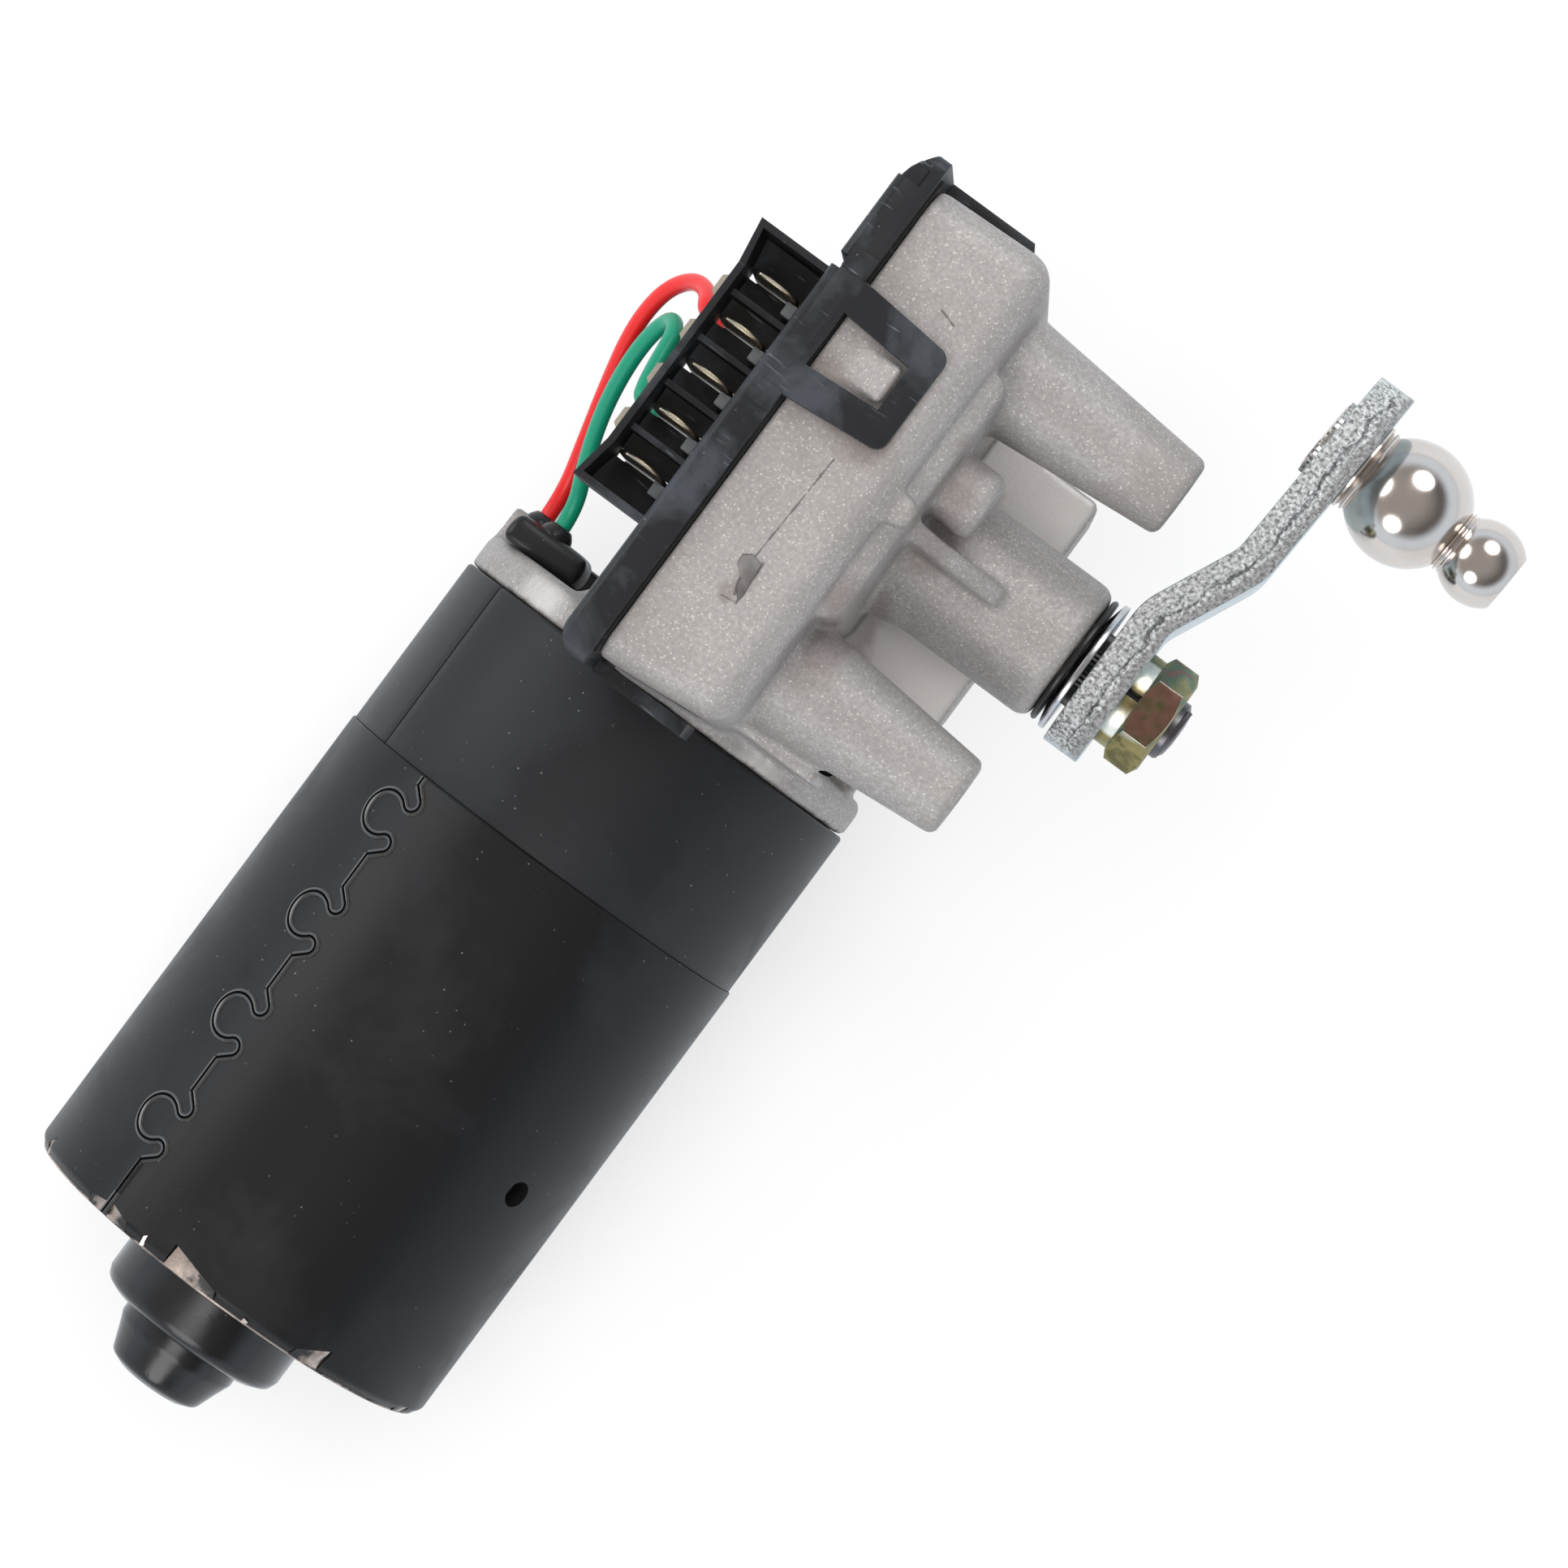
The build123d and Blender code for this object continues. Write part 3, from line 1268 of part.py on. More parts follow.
# Leads from the grommet to the second and fourth terminals, with the largest arcs their runs allow
lead_end_x = blade_x - blade_width / 2
red_route = [
    (-64.2, grommet_top, -23.0), (-64.2, -20.6, -23.0), (-65.6, -13.5, -18.5), (-67.0, -6.0, -13.0),
    (-67.9, 1.0, -7.5), (-67.0, 6.6, -2.5), (-64.4, 9.7, 1.8), (-61.4, 9.4, 6.0), (-59.8, blade_pitch, 10.0),
    (lead_end_x, blade_pitch, 10.0),
]
green_route = [
    (-61.5, grommet_top, -19.6), (-61.5, -21.3, -19.6), (-63.4, -16.0, -14.8), (-64.9, -10.0, -9.8),
    (-65.4, -4.0, -5.2), (-65.0, 1.2, -1.4), (-63.6, 4.4, 1.9), (-61.9, 3.2, 5.0), (-61.3, -0.6, 7.0),
    (-60.6, -4.2, 8.8), (-59.7, -blade_pitch, 10.0), (lead_end_x, -blade_pitch, 10.0),
]


def arc_radii(route):
    """Radius at each corner: 0.45 of the shorter run over the tangent of half the turn."""
    radii = []
    for before, corner, after in zip(route, route[1:], route[2:]):
        first = Vector(*corner) - Vector(*before)
        second = Vector(*after) - Vector(*corner)
        turn = math.radians(first.get_angle(second))
        radii.append(0.45 * min(first.length, second.length) / math.tan(turn / 2))
    return radii


for lead_name, route in (("lead_red", red_route), ("lead_green", green_route)):
    radii = arc_radii(route)
    with BuildPart() as lead:
        with BuildLine() as lead_path:
            FilletPolyline(*route, radius=radii)
        with BuildSketch(Plane(origin=lead_path.line @ 0, z_dir=lead_path.line % 0)) as lead_section:
            Circle(lead_r)
        sweep(lead_section.sketch, path=lead_path.wires()[0])
    lead_length = lead_path.wires()[0].length
    expected = math.pi * lead_r**2 * lead_length
    print(lead_name, "length", round(lead_length, 1), "share", round(lead.part.volume / expected, 4))
    print(lead_name, "radii", [round(radius, 1) for radius in radii])
    label_and_write(lead, lead_name)
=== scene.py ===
import json
import math

import bmesh
import bpy
from bpy.props import FloatProperty, FloatVectorProperty, IntProperty, PointerProperty
from mathutils import Matrix, Vector


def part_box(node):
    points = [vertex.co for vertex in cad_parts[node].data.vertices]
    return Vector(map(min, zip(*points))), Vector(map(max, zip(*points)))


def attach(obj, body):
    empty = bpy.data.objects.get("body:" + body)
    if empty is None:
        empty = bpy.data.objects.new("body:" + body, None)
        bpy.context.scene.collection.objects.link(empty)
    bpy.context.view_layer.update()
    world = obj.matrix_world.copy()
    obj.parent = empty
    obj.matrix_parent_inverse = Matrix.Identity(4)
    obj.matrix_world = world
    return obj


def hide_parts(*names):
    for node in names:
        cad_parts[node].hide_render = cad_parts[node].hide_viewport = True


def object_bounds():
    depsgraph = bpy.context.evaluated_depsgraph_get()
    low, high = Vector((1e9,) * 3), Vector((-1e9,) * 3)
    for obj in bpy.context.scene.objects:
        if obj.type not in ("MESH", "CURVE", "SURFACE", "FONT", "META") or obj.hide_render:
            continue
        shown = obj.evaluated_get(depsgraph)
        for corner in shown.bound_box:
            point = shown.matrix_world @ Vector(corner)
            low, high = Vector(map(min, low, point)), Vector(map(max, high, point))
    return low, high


bl_info = {
    "name": "Wiper Motor Studio",
    "version": (1, 0, 0),
    "blender": (4, 5, 0),
    "location": "3D View > Sidebar > Wiper Motor",
    "description": "Dresses the wiper motor's CAD frame with finishes, leads, terminals and fine detail",
    "category": "Object",
}

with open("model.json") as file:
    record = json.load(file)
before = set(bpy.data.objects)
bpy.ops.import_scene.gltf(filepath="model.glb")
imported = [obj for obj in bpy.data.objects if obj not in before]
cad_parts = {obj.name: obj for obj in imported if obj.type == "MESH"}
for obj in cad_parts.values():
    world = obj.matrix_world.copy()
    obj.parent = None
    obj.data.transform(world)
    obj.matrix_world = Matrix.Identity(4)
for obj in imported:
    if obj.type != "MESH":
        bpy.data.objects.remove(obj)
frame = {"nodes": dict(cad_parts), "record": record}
NODES = frame["nodes"]
CAD_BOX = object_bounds()
MATERIALS = {}

# Places shared with the CAD model, in metres
MOTOR_X = -0.040
MOTOR_Z = -0.0331875
MOTOR_AXIS = Vector((MOTOR_X, 0, MOTOR_Z))
STUD_BASE = Vector((0.01487, 0.03987, 0.0))
STUD_TILT = math.radians(3.0)
STUD_WAY = Vector((math.cos(STUD_TILT), -math.sin(STUD_TILT), 0.0))
YOKE_R = 0.03005
YOKE_WALL = 0.0026
YOKE_LOW = -0.1265
YOKE_HIGH = -0.059
SEAM_ANGLE = -30.5
VENT_ANGLE = 54.0
VENT_Y = -0.0945
VENT_R = 0.0018
FACE_Z = 0.0339
BLADE_X = -0.0532
TAB_Z = 0.0126
CUTTER_MARGIN = 0.001

# Crimps round the yoke's rim: angle, width, height at the left and right, and the end given painted light (-1
# left, 1 right)
STAKES = (
    (-64.7, 0.0013, 0.0016, 0.0027, -1), (-34.2, 0.0034, 0.0011, 0.0017, 1),
    (-26.6, 0.0034, 0.0020, 0.0012, -1), (-17.4, 0.0005, 0.0013, 0.0017, 0),
    (-2.6, 0.0078, 0.0031, 0.0012, -1), (14.0, 0.0008, 0.0007, 0.0005, 0),
    (32.2, 0.0046, 0.0012, 0.0033, 1), (72.0, 0.0032, 0.0012, 0.0013, 1),
)
# Outlines in X and Y
FLAKE = (
    (-0.0367, -0.0158), (-0.0368, -0.0146), (-0.0358, -0.0138), (-0.0341, -0.0142), (-0.0339, -0.0164),
    (-0.0336, -0.0187), (-0.0339, -0.0196), (-0.0349, -0.0184), (-0.0352, -0.0171),
)
COVER_CORNER = (
    (-0.0479, 0.0308), (-0.0480, 0.0318), (-0.0477, 0.0330), (-0.0471, 0.0342), (-0.0463, 0.0350),
    (-0.0455, 0.0350), (-0.0455, 0.0308),
)
CORNER_HEIGHTS = (-0.02464, 0.03606)
# Warm dark marks on the housing along lines: start, end and width
DARK_MARKS = (
    ((-0.0425, 0.0075), (-0.0330, 0.0040), 0.0042), ((-0.0345, -0.0155), (-0.0352, -0.0188), 0.0016),
    ((-0.0215, 0.0105), (-0.0205, -0.0010), 0.0034), ((-0.0230, -0.0110), (-0.0235, -0.0200), 0.0034),
)
HAIRLINES = (
    ((-0.0347, 0.0003), (-0.0353, -0.0140), 0.00017), ((-0.0341, -0.0142), (-0.0339, -0.0197), 0.00030),
    ((-0.0339, -0.0197), (-0.0359, -0.0200), 0.00016), ((-0.0352, -0.0171), (-0.0346, -0.0190), 0.00034),
    ((-0.0350, 0.0218), (-0.0328, 0.0212), 0.00020),
)
# Lead: length and control points
ROUTES = {
    "red": (0.0579, (
        (-0.0642, -0.0253, -0.0230), (-0.0642, -0.0206, -0.0230), (-0.0656, -0.0135, -0.0185),
        (-0.0670, -0.0060, -0.0130), (-0.0679, 0.0010, -0.0075), (-0.0670, 0.0066, -0.0025),
        (-0.0644, 0.0097, 0.0018), (-0.0614, 0.0094, 0.0060), (-0.0598, 0.0066, 0.0100),
        (-0.05635, 0.0066, 0.0100),
    )),
    "green": (0.0555, (
        (-0.0615, -0.0253, -0.0196), (-0.0615, -0.0213, -0.0196), (-0.0634, -0.0160, -0.0148),
        (-0.0649, -0.0100, -0.0098), (-0.0654, -0.0040, -0.0052), (-0.0650, 0.0012, -0.0014),
        (-0.0636, 0.0044, 0.0019), (-0.0619, 0.0032, 0.0050), (-0.0613, -0.0006, 0.0070),
        (-0.0606, -0.0042, 0.0088), (-0.0597, -0.0066, 0.0100), (-0.05635, -0.0066, 0.0100),
    )),
}
# Profile points: distance along the axis and radius
COLLAR = ((-0.0006, 0.00105), (-0.0006, 0.0024), (0.0004, 0.0022), (0.0013, 0.0015), (0.0014, 0.00105),
          (-0.0006, 0.00105))
STUD_FOOT = (
    (-0.00592, 0.0), (-0.00592, 0.0046), (-0.00552, 0.0051), (-0.00502, 0.0051), (-0.00502, 0.00498),
    (0.00002, 0.00498), (0.00002, 0.0058), (0.0001, 0.006), (0.0004, 0.006), (0.00055, 0.0057),
    (0.00065, 0.00535), (0.00075, 0.0053), (0.00085, 0.00535), (0.00095, 0.0057), (0.0011, 0.0058),
    (0.0013, 0.0057), (0.0014, 0.00545),
)
STUD_WAIST = (
    (0.01425, 0.0039), (0.01436, 0.0039), (0.01444, 0.0042), (0.01456, 0.0043), (0.01468, 0.0042),
    (0.01476, 0.0039), (0.01488, 0.0039), (0.01496, 0.00415), (0.01510, 0.0042),
)
# Lamp: right of, above and in front of the aim point, size and watts
LAMPS = {
    "key_softbox": (0.38, 0.50, 0.62, 0.50, 2.5),
    "left_softbox": (-0.62, 0.46, 0.50, 0.60, 2.3),
    "low_softbox": (-0.36, -0.50, 0.55, 0.45, 1.9),
    "fill_softbox": (0.02, 0.0, 0.90, 0.80, 4.6),
}

COLOUR = {"size": 3, "subtype": "COLOR", "min": 0.0, "max": 1.0}


class CameraSettings(bpy.types.PropertyGroup):
    """Camera that repeats the photograph's view, the floor and the light all round."""

    target: FloatVectorProperty(
        name="Aim Point", description="Point at the middle of the picture",
        default=(-0.0204, -0.0333, -0.03325), size=3, unit="LENGTH",
    )
    distance: FloatProperty(
        name="Distance", description="Distance from the aim point to the camera", default=0.698, unit="LENGTH",
    )
    tilt: FloatProperty(
        name="Tilt", description="Lean of the view towards the output shaft", default=math.radians(3.0),
        unit="ROTATION",
    )
    roll: FloatProperty(
        name="Roll", description="Turn of the motor tube in the picture, from the upright",
        default=math.radians(53.42), unit="ROTATION",
    )
    lens: FloatProperty(
        name="Lens", description="Focal length on a 36 mm sensor", default=124.8, subtype="DISTANCE_CAMERA",
    )
    floor_size: FloatProperty(name="Floor Size", description="Side of the pale floor", default=4.0, unit="LENGTH")
    world_strength: FloatProperty(
        name="World Strength", description="Strength of the light all round", default=1.02, min=0.0,
    )
    side_colour: FloatVectorProperty(
        name="Side Light", description="Colour of the light near the horizon", default=(0.79, 0.89, 1.0), **COLOUR,
    )
    overhead_colour: FloatVectorProperty(
        name="Overhead Light", description="Colour of the darker ceiling", default=(0.15, 0.145, 0.145), **COLOUR,
    )
    zenith_colour: FloatVectorProperty(
        name="Zenith Light", description="Colour of the light straight overhead", default=(0.40, 0.385, 0.37),
        **COLOUR,
    )
    floor_colour: FloatVectorProperty(
        name="Floor Colour", description="Colour of the floor", default=(0.93, 0.93, 0.93), **COLOUR,
    )


class CastingSettings(bpy.types.PropertyGroup):
    """Die-cast housing."""

    alloy: FloatVectorProperty(
        name="Alloy", description="Colour of the shot-blasted casting", default=(0.382, 0.361, 0.348), **COLOUR,
    )
    tarnish: FloatVectorProperty(
        name="Tarnish", description="Warmer tint in the recesses", default=(0.27, 0.235, 0.215), **COLOUR,
    )
    voxel: FloatProperty(
        name="Edge Softness", description="Size of the mesh that rounds the cast edges", default=0.00055,
        unit="LENGTH",
    )
    grain: FloatProperty(name="Grain", description="Size of the blasted grain", default=0.00019, unit="LENGTH")


class PaintSettings(bpy.types.PropertyGroup):
    """Painted tubes and end cap."""

    tube_paint: FloatVectorProperty(
        name="Upper Tube Paint", description="Paint on the upper tube", default=(0.016, 0.0165, 0.018), **COLOUR,
    )
    yoke_paint: FloatVectorProperty(
        name="Yoke Paint", description="Paint on the lower tube", default=(0.0085, 0.0085, 0.009), **COLOUR,
    )
    cap_paint: FloatVectorProperty(
        name="Cap Paint", description="Paint on the end cap", default=(0.010, 0.010, 0.0105), **COLOUR,
    )
    dust: FloatProperty(
        name="Dust", description="Share of the surface with dust specks", default=0.5, min=0.0, max=1.0,
        subtype="FACTOR",
    )


class TerminalSettings(bpy.types.PropertyGroup):
    """Five blade terminals."""

    pitch: FloatProperty(name="Pitch", description="Distance between blades", default=0.0066, unit="LENGTH")
    width: FloatProperty(name="Width", description="Width of a blade", default=0.0063, unit="LENGTH")
    thickness: FloatProperty(name="Thickness", description="Thickness of a blade", default=0.0008, unit="LENGTH")
    count: IntProperty(name="Blades", description="Number of blades", default=5, min=1)


class SeamSettings(bpy.types.PropertyGroup):
    """Interlocking seam of the yoke tube."""

    bulbs: IntProperty(name="Bulbs", description="Number of interlocking bulbs", default=4, min=1)
    pitch: FloatProperty(name="Pitch", description="Distance between bulbs", default=0.0157, unit="LENGTH")
    first_bulb: FloatProperty(
        name="First Bulb", description="Distance from the rim to the first bulb", default=0.0137, unit="LENGTH",
    )
    lip_width: FloatProperty(
        name="Lip Width", description="Width of the seam with its raised lips", default=0.00118, unit="LENGTH",
    )
    lip_height: FloatProperty(
        name="Lip Height", description="Height of the raised lips", default=0.00032, unit="LENGTH",
    )
    # The dark gap is a black strip of painted shade
    gap_width: FloatProperty(name="Gap Width", description="Width of the dark gap", default=0.00056, unit="LENGTH")


class DriveSettings(bpy.types.PropertyGroup):
    """Knurl, thread and ball stud of the output side."""

    knurl_count: IntProperty(name="Knurl Teeth", description="Teeth round the shaft's knurl", default=48, min=8)
    thread_pitch: FloatProperty(
        name="Thread Pitch", description="Pitch of the shaft's thread", default=0.00125, unit="LENGTH",
    )
    ball_r: FloatProperty(name="Ball Radius", description="Radius of the large ball", default=0.008, unit="LENGTH")
    small_ball_r: FloatProperty(
        name="Small Ball Radius", description="Radius of the small ball", default=0.0055, unit="LENGTH",
    )


class LeadSettings(bpy.types.PropertyGroup):
    """Red and green leads."""

    diameter: FloatProperty(
        name="Diameter", description="Outside diameter of a lead", default=0.0022, unit="LENGTH",
    )
    red: FloatVectorProperty(
        name="Red", description="Colour of the red lead", default=(0.76, 0.016, 0.016), **COLOUR,
    )
    green: FloatVectorProperty(
        name="Green", description="Colour of the green lead", default=(0.006, 0.28, 0.16), **COLOUR,
    )


class Graph:
    """Node tree under way. Every input takes a value or the socket that feeds it."""

    def __init__(self, tree):
        self.tree = tree

    def feed(self, target, value):
        """Gives an input its value, its link, or several links where it joins them."""
        if target.is_multi_input:
            for source in value:
                self.tree.links.new(source, target)
        elif hasattr(value, "links"):
            self.tree.links.new(value, target)
        elif target.type == "RGBA":
            target.default_value = (*value[:3], 1.0)
        else:
            target.default_value = value

    def add(self, kind, inputs=None, **settings):
        """Adds a node with its settings and inputs."""
        made = self.tree.nodes.new(kind)
        for name, value in settings.items():
            setattr(made, name, value)
        for key, value in (inputs or {}).items():
            self.feed(made.inputs[key], value)
        return made

    def maths(self, operation, first, second=0.0):
        return self.add("ShaderNodeMath", {0: first, 1: second}, operation=operation).outputs[0]

    def times(self, first, second):
        return self.maths("MULTIPLY", first, second)

    def vectors(self, operation, first, second):
        """Vector maths. A product or a distance comes out as a number."""
        made = self.add("ShaderNodeVectorMath", {0: first, 1: second}, operation=operation)
        return made.outputs["Value" if operation in ("DOT_PRODUCT", "DISTANCE") else "Vector"]

    def spread(self, value, low, high, out_low=0.0, out_high=1.0):
        """Maps a value between two limits to another pair of limits."""
        limits = {"From Min": low, "From Max": high, "To Min": out_low, "To Max": out_high}
        return self.add("ShaderNodeMapRange", {"Value": value, **limits}).outputs["Result"]

    def mix(self, factor, first, second):
        """Mixes two colours."""
        return self.add("ShaderNodeMix", {0: factor, 6: first, 7: second}, data_type="RGBA").outputs[2]

    def noise(self, place, scale, detail=2.0, roughness=0.5, distortion=0.0):
        shape = {"Scale": scale, "Detail": detail, "Roughness": roughness, "Distortion": distortion}
        return self.add("ShaderNodeTexNoise", {"Vector": place, **shape}).outputs["Fac"]

    def cells(self, place, scale):
        """Distance from the middle of a cell, and a random number that the cell holds."""
        made = self.add("ShaderNodeTexVoronoi", {"Vector": place, "Scale": scale}, feature="F1").outputs
        return made["Distance"], self.add("ShaderNodeSeparateColor", {"Color": made["Color"]}).outputs[0]

    def axes(self, vector):
        return self.add("ShaderNodeSeparateXYZ", {"Vector": vector}).outputs

    def vector(self, x=0.0, y=0.0, z=0.0):
        return self.add("ShaderNodeCombineXYZ", {"X": x, "Y": y, "Z": z}).outputs["Vector"]

    def attribute(self, name):
        return self.add("ShaderNodeAttribute", attribute_name=name).outputs["Fac"]

    def line(self, start, end):
        return self.add("GeometryNodeCurvePrimitiveLine", {"Start": start, "End": end}).outputs["Curve"]

    def join(self, shapes):
        return self.add("GeometryNodeJoinGeometry", {"Geometry": shapes}).outputs["Geometry"]

    def repeat(self, points, shape, turn=(0.0, 0.0, 0.0)):
        """Places a shape on points."""
        inputs = {"Points": points, "Instance": shape, "Rotation": turn}
        return self.add("GeometryNodeInstanceOnPoints", inputs).outputs["Instances"]

    def real(self, shape):
        return self.add("GeometryNodeRealizeInstances", {"Geometry": shape}).outputs["Geometry"]

    def sweep(self, path, section):
        inputs = {"Curve": path, "Profile Curve": section, "Fill Caps": True}
        return self.add("GeometryNodeCurveToMesh", inputs).outputs["Mesh"]

    def arrange(self):
        """Sets the nodes out in columns, each to the left of the nodes that it feeds."""
        column = {node.name: 0 for node in self.tree.nodes}
        moved = True
        while moved:
            moved = False
            for link in self.tree.links:
                source, target = link.from_node.name, link.to_node.name
                if column[source] <= column[target]:
                    column[source] = column[target] + 1
                    moved = True
        filled = {}
        for node in self.tree.nodes:
            row = filled[column[node.name]] = filled.get(column[node.name], -1) + 1
            node.location = (-220 * column[node.name], -260 * row)


class Finish(Graph):
    """Material under way, with its Principled shader."""

    def __init__(self, name, roughness=0.5, metallic=0.0, specular=0.5):
        self.material = bpy.data.materials.new(name)
        self.material.use_nodes = True
        super().__init__(self.material.node_tree)
        self.tree.nodes.clear()
        self.shader = self.add(
            "ShaderNodeBsdfPrincipled",
            {"Roughness": roughness, "Metallic": metallic, "Specular IOR Level": specular},
        )
        self.output = self.add("ShaderNodeOutputMaterial", {"Surface": self.shader.outputs["BSDF"]})
        place = self.add("ShaderNodeTexCoord").outputs
        self.position, self.normal = place["Object"], place["Normal"]

    def effect(self, name, **values):
        """Places a shared effect with its own values."""
        inputs = {key.replace("_", " "): value for key, value in values.items()}
        group = bpy.data.node_groups[name]
        return self.add("ShaderNodeGroup", {"Position": self.position, **inputs}, node_tree=group).outputs

    def grain(self, scale, coarse):
        return self.effect("Cast Grain", Scale=scale, Coarse_Scale=coarse)

    def scuffs(self, patch, scratch):
        return self.effect("Scuffs", Patch_Scale=patch, Scratch_Scale=scratch)

    def bump(self, height, strength, distance):
        inputs = {"Height": height, "Strength": strength, "Distance": distance}
        self.feed(self.shader.inputs["Normal"], self.add("ShaderNodeBump", inputs).outputs["Normal"])

    def finish(self, colour, roughness, metallic=None):
        """Feeds the shader and returns the material."""
        self.feed(self.shader.inputs["Base Color"], colour)
        self.feed(self.shader.inputs["Roughness"], roughness)
        if metallic:
            self.feed(self.shader.inputs["Metallic"], metallic)
        self.arrange()
        return self.material


def start_group(name, tree_type, inputs, outputs):
    """Starts a node group. An input's kind follows from its number, or is named in its place."""
    tree = bpy.data.node_groups.new(name, tree_type)
    kinds = {int: "NodeSocketInt", float: "NodeSocketFloat"}
    for key, value in inputs.items():
        kind = kinds.get(type(value), value)
        made = tree.interface.new_socket(name=key, in_out="INPUT", socket_type=kind)
        if type(value) in kinds:
            made.default_value = value
    for key, kind in outputs.items():
        tree.interface.new_socket(name=key, in_out="OUTPUT", socket_type=kind)
    graph = Graph(tree)
    return graph, graph.add("NodeGroupInput").outputs, graph.add("NodeGroupOutput").inputs


def shader_group(name, inputs, outputs):
    """Starts a shared effect with a position, numbers that set it and the masks that it gives."""
    inputs = {"Position": "NodeSocketVector", **inputs}
    return start_group(name, "ShaderNodeTree", inputs, dict.fromkeys(outputs, "NodeSocketFloat"))


def make_grain():
    """Shot-blasted or cast grain: a height, a mask of its bright facets for painted glints, and a mottle."""
    masks = ("Height", "Sparkle", "Mottle")
    g, value, leave = shader_group("Cast Grain", {"Scale": 4500.0, "Coarse Scale": 700.0}, masks)
    fine = g.noise(value["Position"], value["Scale"], 3.0, 0.6)
    coarse = g.noise(value["Position"], value["Coarse Scale"], 3.0, 0.55)
    facet = g.cells(value["Position"], value["Scale"])[1]
    g.feed(leave["Height"], g.maths("ADD", g.times(fine, 0.6), coarse))
    g.feed(leave["Sparkle"], g.spread(facet, 0.90, 1.0))
    g.feed(leave["Mottle"], g.spread(coarse, 0.35, 0.65))
    g.arrange()


def make_dust():
    """Specks of dust and lint as a mask."""
    g, value, leave = shader_group("Dust Specks", {"Scale": 900.0, "Amount": 0.5}, ("Mask",))
    distance, which = g.cells(value["Position"], value["Scale"])
    limit = g.maths("SUBTRACT", 1.0, g.times(value["Amount"], 0.25))
    speck = g.times(g.spread(distance, 0.06, 0.16, 1.0, 0.0), g.maths("GREATER_THAN", which, limit))
    patches = g.spread(g.noise(value["Position"], 60.0), 0.42, 0.6)
    g.feed(leave["Mask"], g.times(speck, patches))
    g.arrange()


def make_scuffs():
    """Rubbed patches and short scratches as masks."""
    inputs = {"Patch Scale": 60.0, "Scratch Scale": 260.0}
    g, value, leave = shader_group("Scuffs", inputs, ("Patches", "Scratches"))
    patches = g.noise(value["Position"], value["Patch Scale"], 5.0, 0.6, 0.4)
    g.feed(leave["Patches"], g.spread(patches, 0.5, 0.68))
    stretch = {"Vector": value["Position"], "Rotation": (0.4, 0.9, 0.6), "Scale": (1.0, 9.0, 4.0)}
    stretched = g.add("ShaderNodeMapping", stretch).outputs["Vector"]
    g.feed(leave["Scratches"], g.spread(g.noise(stretched, value["Scratch Scale"], 1.0), 0.70, 0.80))
    g.arrange()


def near_line(f, place, start, end, width, wander):
    """Mask of the places within a width of a line that wanders a little."""
    first, last = Vector((*start, 0.0)), Vector((*end, 0.0))
    length = (last - first).length
    way = (last - first) / length
    offset = f.vectors("SUBTRACT", place, first)
    held = f.spread(f.vectors("DOT_PRODUCT", offset, way), 0.0, length, 0.0, length)
    foot = f.add("ShaderNodeVectorMath", operation="SCALE")
    f.feed(foot.inputs[0], way)
    f.feed(foot.inputs["Scale"], held)
    gap = f.vectors("DISTANCE", offset, foot.outputs[0])
    return f.spread(f.maths("ADD", gap, wander), width * 0.45, width, 1.0, 0.0)


def cast_material(alloy, tarnish, grain_size):
    """Shot-blasted aluminium: tarnish patches, warm dark marks along listed lines, painted light on upward faces
    low in the recess, painted glints, hairlines and a flake's edges.
    """
    f = Finish("Cast Aluminium", 0.5, 0.30)
    grain = f.grain(1.0 / grain_size, 1900.0)
    broad = f.grain(1500.0, 160.0)
    base = f.mix(f.times(f.scuffs(42.0, 180.0)["Patches"], 0.75), alloy, tarnish)
    base = f.mix(f.times(broad["Mottle"], 0.35), base, [c * 0.80 for c in alloy])
    base = f.mix(f.times(grain["Mottle"], 0.45), base, [c * 0.62 for c in alloy])
    # Painted glints: the brightest grain cells are lightened
    base = f.mix(grain["Sparkle"], base, [min(1.0, c * 1.45) for c in alloy])
    height = f.axes(f.position)["Z"]
    # Painted light: upward faces in a band low in the recess are lightened, in place of fill light reaching into
    # it
    recess = f.times(f.spread(height, -0.0125, -0.0110), f.spread(height, -0.0085, -0.0070, 1.0, 0.0))
    painted_recess_light = f.times(recess, f.spread(f.axes(f.normal)["Z"], 0.6, 0.95))
    base = f.mix(painted_recess_light, base, [c * 1.8 for c in alloy])
    plan = f.vectors("MULTIPLY", f.position, (1.0, 1.0, 0.0))
    ragged = f.spread(broad["Mottle"], 0.0, 1.0, -0.0010, 0.0014)
    # Darkens the colour towards a warm brown within a ragged width of each listed line
    for start, end, width in DARK_MARKS:
        dark_patch = near_line(f, plan, start, end, width, ragged)
        base = f.mix(f.times(dark_patch, 0.5), base, (0.20, 0.155, 0.145))
    wander = f.spread(f.noise(f.position, 700.0, 3.0), 0.3, 0.7, -0.00008, 0.00012)
    lines = 0.0
    for start, end, width in HAIRLINES:
        lines = f.maths("MAXIMUM", near_line(f, plan, start, end, width, wander), lines)
    dark = f.times(f.times(lines, f.maths("GREATER_THAN", height, 0.032)), 0.72)
    f.bump(f.maths("SUBTRACT", grain["Height"], dark), 0.55, 0.00010)
    return f.finish(f.mix(dark, base, (0.06, 0.055, 0.055)), f.spread(grain["Mottle"], 0.0, 1.0, 0.44, 0.60))


